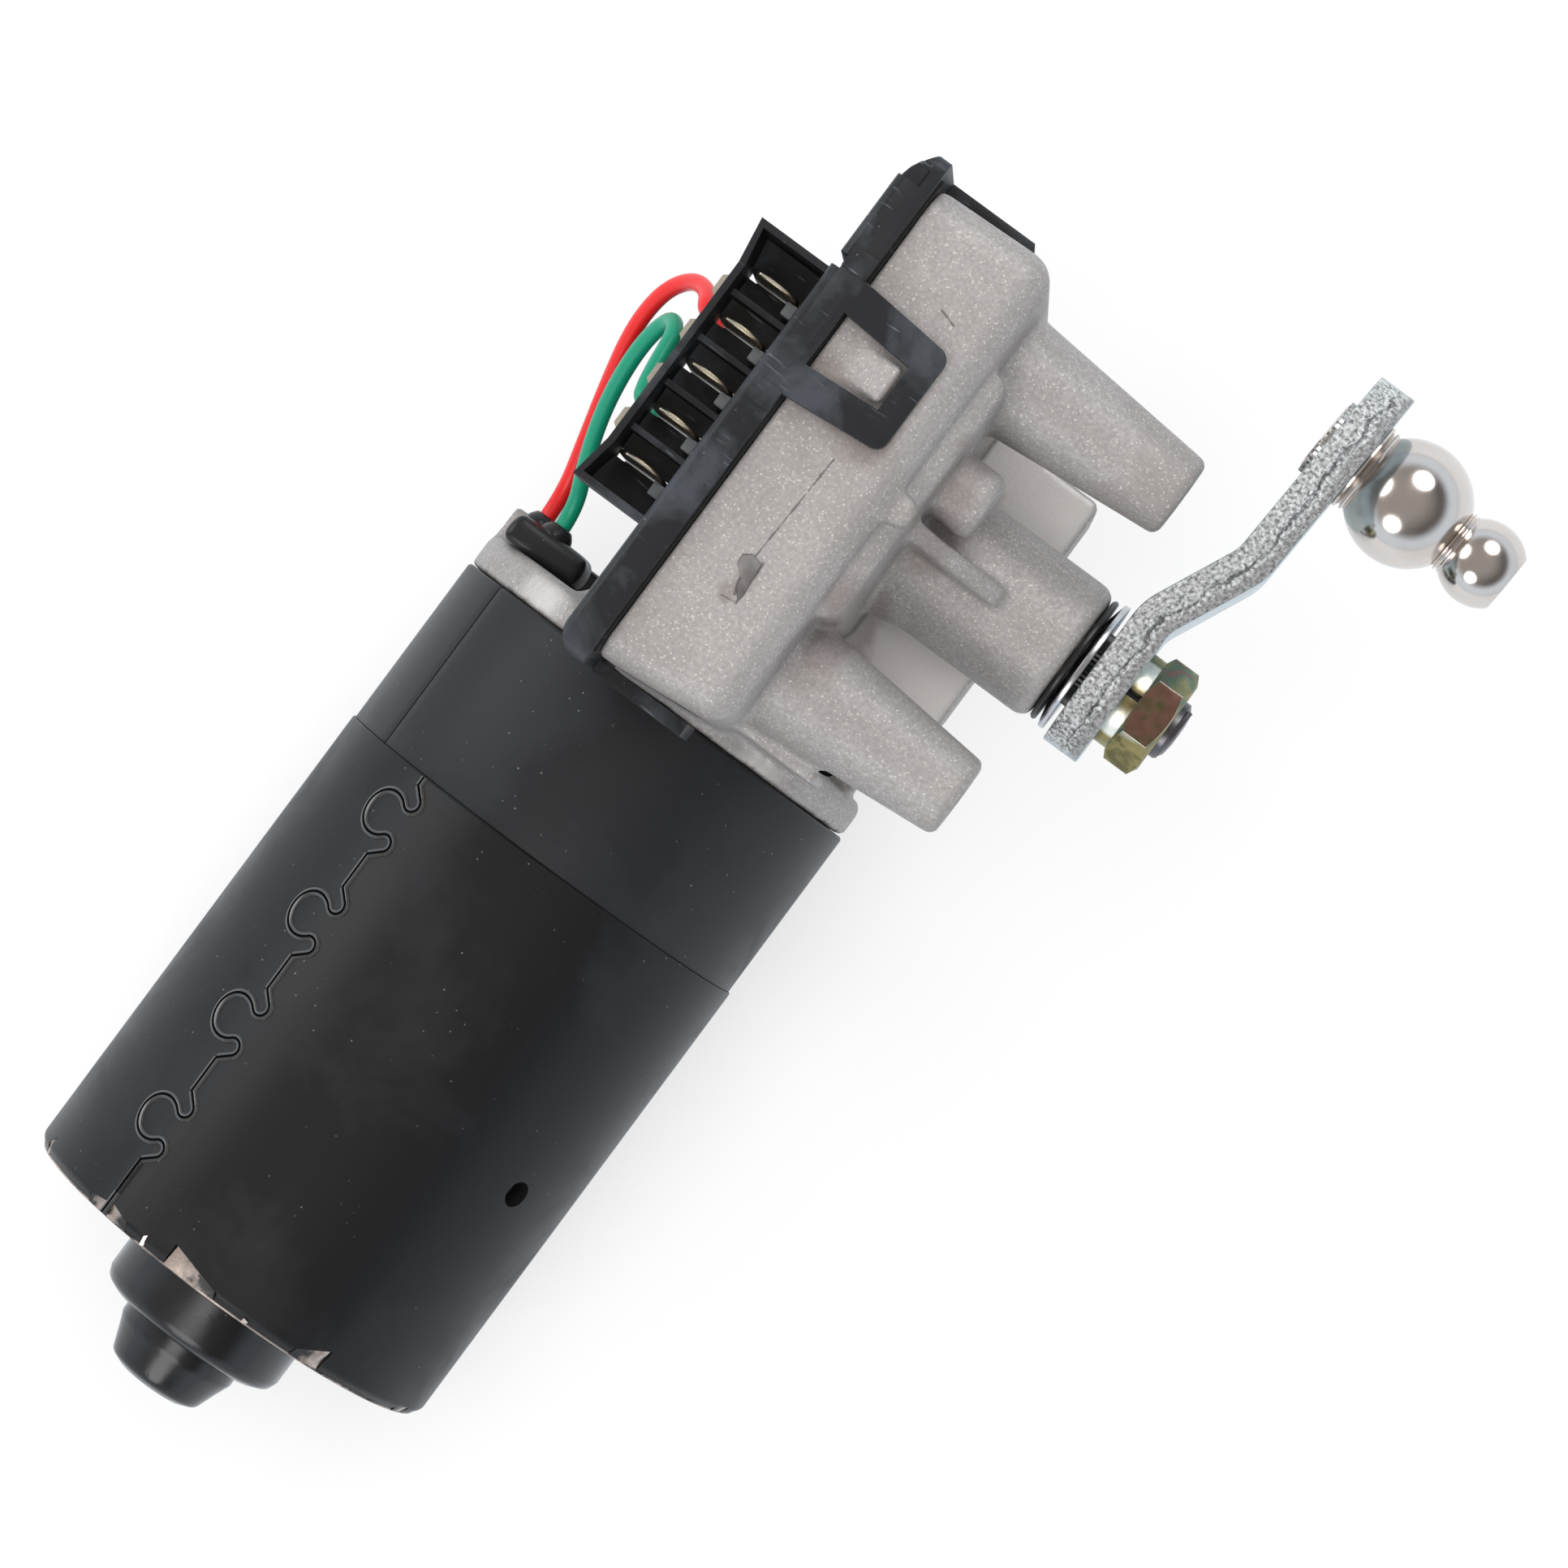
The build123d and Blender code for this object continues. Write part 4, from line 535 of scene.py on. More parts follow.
def paint_material(name, colour, roughness, dust, wear=0.08, gloss=0.27):
    """Black paint with orange peel, dust specks and rubbed patches."""
    f = Finish(name, roughness, 0.0, gloss)
    patches = f.scuffs(55.0, 160.0)["Patches"]
    base = f.mix(f.times(patches, wear), colour, (0.075, 0.08, 0.092))
    base = f.mix(f.effect("Dust Specks", Scale=1100.0, Amount=dust)["Mask"], base, (0.20, 0.195, 0.19))
    f.bump(f.grain(1600.0, 240.0)["Height"], 0.18, 0.00008)
    return f.finish(base, f.spread(patches, 0.0, 1.0, roughness, min(1.0, roughness + 0.12)))


def moulded_material(name, colour, roughness, scuffed=0.3, dust=0.35, rubbed=0.0):
    """Moulded plastic or rubber with bluish scuffs and fine grain."""
    f = Finish(name, roughness, 0.0, 0.38)
    scuffs = f.scuffs(90.0, 220.0)
    base = f.mix(f.times(scuffs["Patches"], rubbed), colour, (0.10, 0.115, 0.14))
    base = f.mix(f.times(scuffs["Scratches"], scuffed), base, (0.20, 0.22, 0.26))
    specks = f.effect("Dust Specks", Scale=1400.0, Amount=dust)["Mask"]
    base = f.mix(specks, base, [min(1.0, c * 2.2 + 0.14) for c in colour])
    f.bump(f.grain(5200.0, 420.0)["Height"], 0.12, 0.00005)
    return f.finish(base, f.spread(scuffs["Patches"], 0.0, 1.0, roughness, min(1.0, roughness + 0.15)))


def metal_material(name, colour, roughness, dark_patch, stain_amount=0.4, grain_scale=3000.0, bump=0.1):
    """Bare or plated metal with stains, fine grain and light scratches."""
    f = Finish(name, roughness, 1.0)
    grain = f.grain(grain_scale, grain_scale / 6)
    base = f.mix(f.times(f.scuffs(140.0, 420.0)["Patches"], stain_amount), colour, dark_patch)
    f.bump(grain["Height"], bump, 0.00006)
    return f.finish(base, f.spread(grain["Mottle"], 0.0, 1.0, roughness * 0.8, min(1.0, roughness * 1.35)))


def crank_material():
    """Bright zinc: bluish rolled faces, and a coarse sheared edge with a crack along it."""
    f = Finish("Crank Zinc", 0.38, 0.80)
    facing = f.axes(f.normal)
    cut = f.spread(f.maths("ABSOLUTE", facing["X"]), 0.55, 0.72, 1.0, 0.0)
    edge = f.times(cut, f.spread(f.maths("ABSOLUTE", facing["Z"]), 0.12, 0.38, 0.3, 1.0))
    drift = f.spread(f.noise(f.position, 240.0, 4.0, 0.65), 0.2, 0.8, -0.45, 0.45)
    place = f.maths("ADD", f.attribute("across"), drift)
    crack = f.spread(f.maths("ABSOLUTE", f.maths("ADD", place, -0.12)), 0.02, 0.10, 1.0, 0.0)
    broken = f.spread(f.noise(f.position, 330.0, 1.0), 0.40, 0.58, 0.0, 0.75)
    sheared = f.grain(3600.0, 2100.0)
    rolled = f.mix(f.scuffs(160.0, 380.0)["Patches"], (0.46, 0.55, 0.57), (0.38, 0.44, 0.46))
    torn = f.mix(sheared["Mottle"], (0.21, 0.208, 0.20), (0.90, 0.91, 0.90))
    # Painted glints: the brightest grain cells of the sheared edge are near white
    torn = f.mix(sheared["Sparkle"], torn, (0.95, 0.95, 0.96))
    torn = f.mix(f.times(f.spread(place, 0.42, 0.62), 0.55), torn, (0.20, 0.19, 0.19))
    torn = f.mix(f.times(crack, broken), torn, (0.09, 0.085, 0.08))
    f.bump(f.times(f.maths("SUBTRACT", sheared["Height"], crack), edge), 1.0, 0.00035)
    return f.finish(f.mix(edge, rolled, torn), f.spread(edge, 0.0, 1.0, 0.26, 0.42))


def rim_material():
    """Coined rim: beige bare steel that fades into black paint, by the point attribute "shine", which holds real
    wear on the rim edge, and on the crimp marks painted light: bright bare steel at the lit end, black paint as
    painted shade at the other.
    """
    f = Finish("Coined Rim", 0.34)
    grain = f.grain(2600.0, 900.0)
    ragged = f.spread(grain["Mottle"], 0.0, 1.0, -0.18, 0.12)
    bare = f.spread(f.maths("ADD", f.attribute("shine"), ragged), 0.12, 0.80)
    f.bump(grain["Height"], 0.2, 0.00006)
    colour = f.mix(bare, (0.010, 0.0095, 0.0095), (0.62, 0.51, 0.45))
    return f.finish(colour, f.spread(bare, 0.0, 1.0, 0.40, 0.26), bare)


def passivated_material(name, near_flat):
    """Yellow passivated zinc, whose film changes from olive to gold, teal and red brown with the face, and a
    painted highlight of pale colour on the bevelled edges.
    """
    f = Finish(name, 0.34, 1.0)
    film = f.noise(f.position, 300.0, 4.0, 0.5, 0.6)
    facing = f.axes(f.normal)
    ramp = f.add("ShaderNodeValToRGB", {"Fac": f.maths("ADD", film, f.times(facing["Y"], 0.16))})
    stops = (
        (0.26, (0.13, 0.12, 0.045)), (0.82, (0.42, 0.36, 0.17)), (0.40, (0.30, 0.25, 0.10)),
        (0.50, (0.22, 0.21, 0.10)), (0.60, (0.11, 0.19, 0.13)), (0.70, (0.24, 0.12, 0.10)),
    )
    elements = ramp.color_ramp.elements
    for element, (place, colour) in zip(elements, stops):
        element.position = place
        element.color = (*colour, 1.0)
    for place, colour in stops[2:]:
        elements.new(place).color = (*colour, 1.0)
    warm = f.mix(f.spread(film, 0.50, 0.64), near_flat, (0.19, 0.165, 0.085))
    colour = f.mix(f.spread(facing["Z"], 0.90, 0.97), ramp.outputs["Color"], warm)
    # Painted highlight: faces that lean between up and sideways, the bevelled edges, are turned pale
    rim = f.maths("SUBTRACT", f.spread(facing["Z"], 0.56, 0.64), f.spread(facing["Z"], 0.93, 0.98))
    grain = f.grain(2600.0, 800.0)
    f.bump(grain["Height"], 0.25, 0.00006)
    return f.finish(f.mix(rim, colour, (0.92, 0.90, 0.80)), f.spread(grain["Mottle"], 0.0, 1.0, 0.24, 0.40))


def blade_material():
    """Tinned brass with painted shade that turns it brown towards its root end and low down inside the cells."""
    f = Finish("Tinned Brass", 0.24, 1.0)
    place = f.axes(f.position)
    tin = f.mix(f.scuffs(300.0, 700.0)["Patches"], (0.95, 0.89, 0.74), (0.80, 0.76, 0.68))
    # Painted shade: brown towards the root end, and towards the bottom inside the cells but not on the tabs
    # outside
    root = f.spread(place["X"], -0.0528, -0.0500)
    inside = f.spread(place["X"], -0.0572, -0.0565, 0.0, 0.6)
    painted_cell_shade = f.maths("MAXIMUM", root, f.times(f.spread(place["Z"], 0.0262, 0.0235), inside))
    return f.finish(f.mix(painted_cell_shade, tin, (0.20, 0.12, 0.06)), f.spread(painted_cell_shade, 0.0, 1.0, 0.20, 0.42))


# Finish: name, colour, roughness, stain colour, and share of stain, scale of grain and bump
METALS = {
    "torn_alloy": ("Torn Alloy", (0.40, 0.38, 0.37), 0.5, (0.20, 0.185, 0.18), 0.7, 2400.0, 0.6),
    "bronze": ("Sintered Bronze", (0.55, 0.38, 0.22), 0.5, (0.30, 0.20, 0.12)),
    "spring_steel": ("Spring Steel", (0.50, 0.50, 0.51), 0.32, (0.34, 0.33, 0.32)),
    "shaft_steel": ("Shaft Steel", (0.15, 0.145, 0.155), 0.34, (0.09, 0.085, 0.09)),
    "lamination_steel": ("Lamination Steel", (0.32, 0.32, 0.34), 0.45, (0.2, 0.19, 0.18)),
    "copper_wire": ("Enamelled Copper", (0.62, 0.28, 0.14), 0.3, (0.42, 0.16, 0.08)),
    "washer_steel": ("Washer Steel", (0.60, 0.60, 0.62), 0.24, (0.32, 0.31, 0.31)),
    "polished_nickel": ("Polished Nickel", (0.685, 0.625, 0.58), 0.15, (0.52, 0.44, 0.39), 0.3, 900.0, 0.02),
    "black_steel": ("Black Steel", (0.06, 0.06, 0.062), 0.34, (0.12, 0.11, 0.10)),
}
# Finish: name, colour, roughness, and shares of scratches, dust and rubbed patches
MOULDINGS = {
    "cover_plastic": ("Cover Plastic", (0.010, 0.0105, 0.012), 0.40, 0.55, 0.35, 0.32),
    "seal_rubber": ("Seal Rubber", (0.012, 0.012, 0.012), 0.30, 0.1),
    "blade_feet": ("Blade Feet", (0.11, 0.115, 0.12), 0.4),
    "wear_plastic": ("Wear Plastic", (0.10, 0.08, 0.06), 0.5),
    "ferrite": ("Ferrite", (0.07, 0.07, 0.075), 0.62, 0.2),
    "card_plastic": ("Brush Card", (0.22, 0.12, 0.06), 0.55),
    "carbon": ("Carbon", (0.05, 0.05, 0.05), 0.6, 0.15),
    "gear_plastic": ("Gear Plastic", (0.72, 0.70, 0.64), 0.42, 0.1),
}


def smooth_by_angle(piece, degrees=35.0):
    """Shades a mesh smooth, with sharp edges past an angle."""
    mesh = piece.data
    mesh.polygons.foreach_set("use_smooth", [True] * len(mesh.polygons))
    mesh.set_sharp_from_angle(angle=math.radians(degrees))
    mesh.update()


def add_object(name, data):
    """Makes an object in the scene."""
    made = bpy.data.objects.new(name, data)
    bpy.context.scene.collection.objects.link(made)
    return made


def new_piece(name, bm, material, degrees=35.0):
    """Turns a bmesh into a piece with its material and shading."""
    bmesh.ops.recalc_face_normals(bm, faces=bm.faces)
    mesh = bpy.data.meshes.new(name)
    bm.to_mesh(mesh)
    bm.free()
    piece = add_object(name, mesh)
    mesh.materials.append(MATERIALS.get(material, material))
    smooth_by_angle(piece, degrees)
    return piece


def set_place(piece, body, slot, *replaced):
    """Says what a piece rides on and hides the CAD nodes that it stands for. The slot is not used."""
    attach(piece, body)
    if replaced:
        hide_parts(*replaced)


def modify(piece, name, kind, **settings):
    """Adds a modifier with its settings."""
    made = piece.modifiers.new(name, kind)
    for key, value in settings.items():
        setattr(made, key, value)


def apply_modifiers(piece, degrees=40.0):
    """Replaces a piece's mesh by its evaluated shape and drops the modifiers."""
    shape = piece.evaluated_get(bpy.context.evaluated_depsgraph_get())
    mesh = bpy.data.meshes.new_from_object(shape)
    materials = [slot.material for slot in piece.material_slots]
    piece.modifiers.clear()
    piece.data = mesh
    if not mesh.materials:
        for material in materials:
            mesh.materials.append(material)
    smooth_by_angle(piece, degrees)
    return piece


def bevelled_copy(node, name, slot, width, segments=2, degrees=28.0):
    """Copy of a CAD node with its flat faces merged and its sharp edges rounded."""
    bm = bmesh.new()
    bm.from_mesh(NODES[node].data)
    bmesh.ops.remove_doubles(bm, verts=bm.verts, dist=2e-6)
    bmesh.ops.dissolve_limit(bm, angle_limit=math.radians(0.6), verts=bm.verts, edges=bm.edges)
    piece = new_piece(name, bm, slot)
    modify(
        piece, "Edge Round", "BEVEL", width=width, segments=segments, limit_method="ANGLE",
        angle_limit=math.radians(degrees),
    )
    return apply_modifiers(piece)


def lathe(bm, profile, origin, along, sideways, steps):
    """Turns a profile of (distance along, radius) points about an axis."""
    along = along.normalized()
    sideways = sideways.normalized()
    third = along.cross(sideways)
    rings = []
    for step in range(steps):
        angle = 2 * math.pi * step / steps
        way = sideways * math.cos(angle) + third * math.sin(angle)
        rings.append([bm.verts.new(origin + along * distance + way * radius) for distance, radius in profile])
    for here, there in zip(rings, rings[1:] + rings[:1]):
        for k in range(len(profile) - 1):
            bm.faces.new((here[k], here[k + 1], there[k + 1], there[k]))
    bmesh.ops.remove_doubles(bm, verts=bm.verts, dist=1e-6)


def rounded_profile(points, radius, steps=4):
    """Rounds the corners of a profile of (distance, radius) points."""
    rounded = [points[0]]
    for before, corner, after in zip(points, points[1:], points[2:]):
        corner = Vector(corner)
        a = Vector(before) - corner
        b = Vector(after) - corner
        reach = min(radius, a.length * 0.45, b.length * 0.45)
        start = corner + a.normalized() * reach
        end = corner + b.normalized() * reach
        for k in range(steps + 1):
            t = k / steps
            rounded.append(tuple(start.lerp(corner, t).lerp(corner.lerp(end, t), t)))
    rounded.append(points[-1])
    return rounded


def stack(bm, rings):
    """Closes a solid whose level outlines lie one above the other."""
    for here, there in zip(rings, rings[1:]):
        for k in range(len(here)):
            after = (k + 1) % len(here)
            bm.faces.new((here[k], here[after], there[after], there[k]))
    bm.faces.new(rings[-1])
    bm.faces.new(rings[0][::-1])


def brick(bm, low, high):
    """Square block between two corners."""
    corners = ((low[0], low[1]), (high[0], low[1]), (high[0], high[1]), (low[0], high[1]))
    stack(bm, [[bm.verts.new((x, y, z)) for x, y in corners] for z in (low[2], high[2])])


def around_motor(y, radius, degrees):
    """Place at a height on the motor axis, a radius and an angle from +Z towards +X."""
    angle = math.radians(degrees)
    return Vector((MOTOR_X + radius * math.sin(angle), y, MOTOR_Z + radius * math.cos(angle)))


def start_shape(name, numbers):
    """Starts a Geometry Nodes tree with number inputs and a material input."""
    return start_group(
        name, "GeometryNodeTree", {**numbers, "Material": "NodeSocketMaterial"},
        {"Geometry": "NodeSocketGeometry"},
    )


def end_shape(g, value, leave, geometry):
    """Ends a Geometry Nodes tree in plain geometry with its material."""
    inputs = {"Geometry": g.real(geometry), "Material": value["Material"]}
    g.feed(leave["Geometry"], g.add("GeometryNodeSetMaterial", inputs).outputs["Geometry"])
    g.arrange()
    return g.tree


def tooth_ring_tree():
    """Ring of straight teeth about Z, as on a knurl or a coined edge."""
    g, value, leave = start_shape("Tooth Ring", {"Count": 48, "Radius": 0.005, "Tooth": 0.0003, "Length": 0.001})
    circle = g.add("GeometryNodeMeshCircle", {"Vertices": value["Count"], "Radius": value["Radius"]})
    size = g.vector(value["Tooth"], value["Tooth"], value["Length"])
    tooth = g.add("GeometryNodeMeshCube", {"Size": size}).outputs["Mesh"]
    index = g.add("GeometryNodeInputIndex").outputs["Index"]
    step = g.maths("DIVIDE", 2 * math.pi, value["Count"])
    turn = g.add("ShaderNodeMath", operation="MULTIPLY_ADD")
    for k, term in enumerate((index, step, math.pi / 4)):
        g.feed(turn.inputs[k], term)
    ring = g.repeat(circle.outputs["Mesh"], tooth, g.vector(z=turn.outputs[0]))
    return end_shape(g, value, leave, ring)


def thread_tree():
    """Screw thread ridge wound about Z."""
    numbers = {"Radius": 0.004, "Pitch": 0.00125, "Turns": 2.0, "Ridge": 0.0004}
    g, value, leave = start_shape("Screw Thread", numbers)
    spiral = g.add("GeometryNodeCurveSpiral", {
        "Resolution": 48, "Rotations": value["Turns"], "Start Radius": value["Radius"],
        "End Radius": value["Radius"], "Height": g.times(value["Pitch"], value["Turns"]),
    })
    ridge = g.add("GeometryNodeCurvePrimitiveCircle", {"Resolution": 3, "Radius": value["Ridge"]})
    return end_shape(g, value, leave, g.sweep(spiral.outputs["Curve"], ridge.outputs["Curve"]))


def lock_seam_tree():
    """Interlocking seam: hooked bulbs and straight runs, swept as a bead and wound onto the tube."""
    g, value, leave = start_shape("Lock Seam", {
        "Bulbs": 4, "Pitch": 0.0157, "First Bulb": 0.0137, "Length": 0.0675, "Bead Width": 0.0008,
        "Bead Height": 0.00008, "Shell Radius": 0.03, "Seam Angle": 0.0,
    })
    bulb_r, bulb_x, hook_r, hook_x, hook_y = 0.0030, -0.0019, 0.00115, 0.0028, 0.00307
    ramp_x, ramp_y, end_y, end_margin = 0.00163, 0.00396, 0.0053, 0.0002
    lean = math.atan2(hook_y, hook_x)
    hook_sweep = math.radians(183)
    curves = []
    for radius, x, y, start, sweep in (
        (bulb_r, bulb_x, 0.0, lean, 2 * (math.pi - lean)),
        (hook_r, bulb_x + hook_x, hook_y, lean + math.pi, hook_sweep),
        (hook_r, bulb_x + hook_x, -hook_y, -lean - math.pi, -hook_sweep),
    ):
        numbers = {"Resolution": 40, "Radius": radius, "Start Angle": start, "Sweep Angle": sweep}
        arc = g.add("GeometryNodeCurveArc", numbers, mode="RADIUS").outputs["Curve"]
        moved = g.add("GeometryNodeTransform", {"Geometry": arc, "Translation": (x, y, 0.0)})
        curves.append(moved.outputs["Geometry"])
    for side in (-1, 1):
        curves.append(g.line((ramp_x, side * ramp_y, 0.0), (0.0, side * end_y, 0.0)))
    first, pitch = value["First Bulb"], value["Pitch"]
    spots = g.add("GeometryNodeMeshLine", {
        "Count": value["Bulbs"], "Start Location": g.vector(y=first), "Offset": g.vector(y=pitch),
    }).outputs["Mesh"]
    last = g.maths("ADD", g.times(g.maths("SUBTRACT", value["Bulbs"], 1.0), pitch), first)
    next_start = g.times(g.maths("SUBTRACT", pitch, end_y), -1.0)
    path = g.real(g.join([
        g.repeat(spots, g.join(curves)),
        g.repeat(spots, g.line((0.0, -end_y, 0.0), g.vector(y=next_start))),
        g.line((0.0, end_margin, 0.0), g.vector(y=g.maths("SUBTRACT", first, end_y))),
        g.line(g.vector(y=g.maths("ADD", last, end_y)),
               g.vector(y=g.maths("SUBTRACT", value["Length"], end_margin))),
    ]))
    fine = g.add("GeometryNodeResampleCurve", {"Curve": path, "Length": 0.00025}, mode="LENGTH")
    half = g.times(value["Bead Width"], 0.5)
    bead = g.add("GeometryNodeCurvePrimitiveCircle", {"Resolution": 12, "Radius": half})
    swept = g.sweep(fine.outputs["Curve"], bead.outputs["Curve"])
    place = g.axes(g.add("GeometryNodeInputPosition").outputs["Position"])
    flat = g.maths("DIVIDE", value["Bead Height"], half)
    out = g.maths("ADD", g.times(place["Z"], flat), value["Shell Radius"])
    turn = g.maths("ADD", g.maths("DIVIDE", place["X"], value["Shell Radius"]), value["Seam Angle"])
    wound = g.vector(g.times(out, g.maths("SINE", turn)), place["Y"], g.times(out, g.maths("COSINE", turn)))
    moved = g.add("GeometryNodeSetPosition", {"Geometry": swept, "Position": wound})
    return end_shape(g, value, leave, moved.outputs["Geometry"])


def piece_from_tree(name, tree, finish, place, **values):
    """Runs a Geometry Nodes tree with its inputs and keeps the result as a plain mesh at a place."""
    material = MATERIALS[finish]
    carrier = add_object(name, bpy.data.meshes.new(name + "_seed"))
    nodes = carrier.modifiers.new("Repeat", "NODES")
    nodes.node_group = tree
    values["Material"] = material
    for item in tree.interface.items_tree:
        key = item.name.replace(" ", "_")
        if item.in_out == "INPUT" and key in values:
            nodes[item.identifier] = values[key]
    shape = carrier.evaluated_get(bpy.context.evaluated_depsgraph_get())
    mesh = bpy.data.meshes.new_from_object(shape)
    carrier.modifiers.remove(nodes)
    mesh.transform(place)
    bm = bmesh.new()
    bm.from_mesh(mesh)
    bmesh.ops.recalc_face_normals(bm, faces=bm.faces)
    bm.to_mesh(mesh)
    bm.free()
    carrier.data = mesh
    if not mesh.materials:
        mesh.materials.append(material)
    smooth_by_angle(carrier, 30.0)
    return carrier


def facing_along(origin, along):
    """Matrix that takes Z to a direction and the origin to a point."""
    return Matrix.Translation(origin) @ Vector(along).to_track_quat("Z", "Y").to_matrix().to_4x4()


class WIPER_OT_finishes(bpy.types.Operator):
    """Makes the shared effects and the finishes, and gives each CAD node its finish"""

    bl_idname = "wiper.finishes"
    bl_label = "Finishes"

    def execute(self, context):
        casting = context.scene.wiper_casting
        paint = context.scene.wiper_paint
        leads = context.scene.wiper_leads
        make_grain()
        make_dust()
        make_scuffs()
        MATERIALS.update({slot: metal_material(*row) for slot, row in METALS.items()})
        MATERIALS.update({slot: moulded_material(*row) for slot, row in MOULDINGS.items()})
        MATERIALS.update({
            "cast_aluminium": cast_material(casting.alloy, casting.tarnish, casting.grain),
            "tinned_brass": blade_material(),
            "tube_paint": paint_material("Upper Tube Paint", paint.tube_paint, 0.40, paint.dust),
            "yoke_paint": paint_material("Yoke Paint", paint.yoke_paint, 0.38, paint.dust),
            "cap_paint": paint_material("End Cap Paint", paint.cap_paint, 0.17, paint.dust * 0.6, 0.06, 0.5),
            "seam_shadow": paint_material("Seam Shadow", (0.0015, 0.0015, 0.0015), 0.75, 0.0, 0.0, 0.03),
            "seam_paint": paint_material("Seam Paint", (0.03, 0.03, 0.03), 0.14, 0.0, 0.0, 1.0),
            "rim_steel": rim_material(),
            "crank_zinc": crank_material(),
            "yellow_zinc": passivated_material("Yellow Zinc", (0.46, 0.38, 0.18)),
            "nut_zinc": passivated_material("Nut Zinc", (0.29, 0.155, 0.12)),
            "lead_red_pvc": moulded_material("Red Lead", leads.red, 0.30, 0.05, 0.1),
            "lead_green_pvc": moulded_material("Green Lead", leads.green, 0.30, 0.05, 0.1),
        })
        slots = {part["node"]: part["material_slot"] for part in frame["record"]["subparts"]}
        for name, node in NODES.items():
            node.data.materials.clear()
            node.data.materials.append(MATERIALS[slots[name]])
        return {"FINISHED"}


class WIPER_OT_casting(bpy.types.Operator):
    """Rounds the cast edges of the gear housing"""

    bl_idname = "wiper.casting"
    bl_label = "Gear Housing"

    def execute(self, context):
        voxel = context.scene.wiper_casting.voxel
        bm = bmesh.new()
        bm.from_mesh(NODES["gear_housing"].data)
        bmesh.ops.remove_doubles(bm, verts=bm.verts, dist=2e-6)
        casting = new_piece("soft_gear_housing", bm, "cast_aluminium")
        modify(casting, "Cast Skin", "REMESH", mode="VOXEL", voxel_size=voxel, adaptivity=voxel * 0.3)
        modify(casting, "Cast Radius", "SMOOTH", factor=0.6, iterations=4)
        apply_modifiers(casting, 60.0)
        set_place(casting, "root", "cast_aluminium", "gear_housing")
        return {"FINISHED"}


class WIPER_OT_cover(bpy.types.Operator):
    """Rounds the moulded edges of the cover and its terminal shroud, and cuts the corners of its strip"""

    bl_idname = "wiper.cover"
    bl_label = "Cover"

    def execute(self, context):
        strip_y, strip_length = 0.0343, 0.0018
        cover = bevelled_copy("cover", "moulded_cover", "cover_plastic", 0.00025)
        for vert in cover.data.vertices:
            share = (vert.co.y - strip_y) / strip_length
            if share > 0 and vert.co.x < -0.0464:
                vert.co.x += 0.0012 * share
            elif share > 0 and vert.co.x > -0.0313:
                vert.co.x -= 0.0010 * share
        set_place(cover, "root", "cover_plastic", "cover")
        bm = bmesh.new()
        stack(bm, [[bm.verts.new((x, y, z)) for x, y in COVER_CORNER] for z in CORNER_HEIGHTS])
        corner = new_piece("cover_corner", bm, "cover_plastic")
        modify(
            corner, "Moulded Round", "BEVEL", width=0.0003, segments=2, limit_method="ANGLE",
            angle_limit=math.radians(40.0),
        )
        set_place(apply_modifiers(corner), "root", "cover_plastic")
        return {"FINISHED"}


class WIPER_OT_crank(bpy.types.Operator):
    """Rounds the crank's edges"""

    bl_idname = "wiper.crank"
    bl_label = "Crank Arm"

    def execute(self, context):
        crank = bevelled_copy("crank_arm", "plated_crank", "crank_zinc", 0.0005, 3)
        across = crank.data.attributes.new("across", "FLOAT", "POINT")
        across.data.foreach_set("value", [1.0 if vert.normal.x > 0 else -1.0 for vert in crank.data.vertices])
        set_place(crank, "output", "crank_zinc", "crank_arm")
        return {"FINISHED"}


class WIPER_OT_ball_stud(bpy.types.Operator):
    """Turns the polished double ball stud"""

    bl_idname = "wiper.ball_stud"
    bl_label = "Double Ball Stud"

    def execute(self, context):
        settings = context.scene.wiper_drive
        big_at, small_at, flat_at = 0.0073, 0.0188, 0.0227
        waist, collar_end = 0.0042, 0.0015
        profile = list(STUD_FOOT)

        def add_ball(middle, radius, first, last, steps):
            for k in range(steps + 1):
                angle = first + (last - first) * k / steps
                profile.append((middle - radius * math.cos(angle), radius * math.sin(angle)))

        big, small = settings.ball_r, settings.small_ball_r
        add_ball(big_at, big, math.acos((big_at - collar_end) / big), math.pi - math.asin(waist / big), 32)
        profile += STUD_WAIST
        end = math.pi - math.acos((flat_at - small_at) / small)
        add_ball(small_at, small, math.asin(waist / small), end, 24)
        profile += [(flat_at, profile[-1][1] - 0.0004), (flat_at, 0.0)]
        bm = bmesh.new()
        lathe(bm, profile, STUD_BASE, STUD_WAY, Vector((0, 0, 1)), 96)
        stud = new_piece("polished_ball_stud", bm, "polished_nickel", 30.0)
        set_place(stud, "output", "polished_nickel", "ball_stud")
        return {"FINISHED"}


class WIPER_OT_leads(bpy.types.Operator):
    """Runs the red and green leads from the grommet to their terminals"""

    bl_idname = "wiper.leads"
    bl_label = "Leads"

    def execute(self, context):
        diameter = context.scene.wiper_leads.diameter
        for name, (length, route) in ROUTES.items():
            curve = bpy.data.curves.new(f"{name}_lead", "CURVE")
            curve.dimensions = "3D"
            curve.bevel_depth = diameter / 2
            curve.bevel_resolution = 6
            curve.resolution_u = 16
            curve.use_fill_caps = True
            spline = curve.splines.new("NURBS")
            spline.points.add(len(route) - 1)
            for point, place in zip(spline.points, route):
                point.co = (*place, 1.0)
            spline.order_u = 3
            spline.use_endpoint_u = True
            curve.materials.append(MATERIALS[f"lead_{name}_pvc"])
            lead = add_object(f"{name}_lead", curve)
            set_place(lead, "root", f"lead_{name}_pvc", f"lead_{name}")
        return {"FINISHED"}


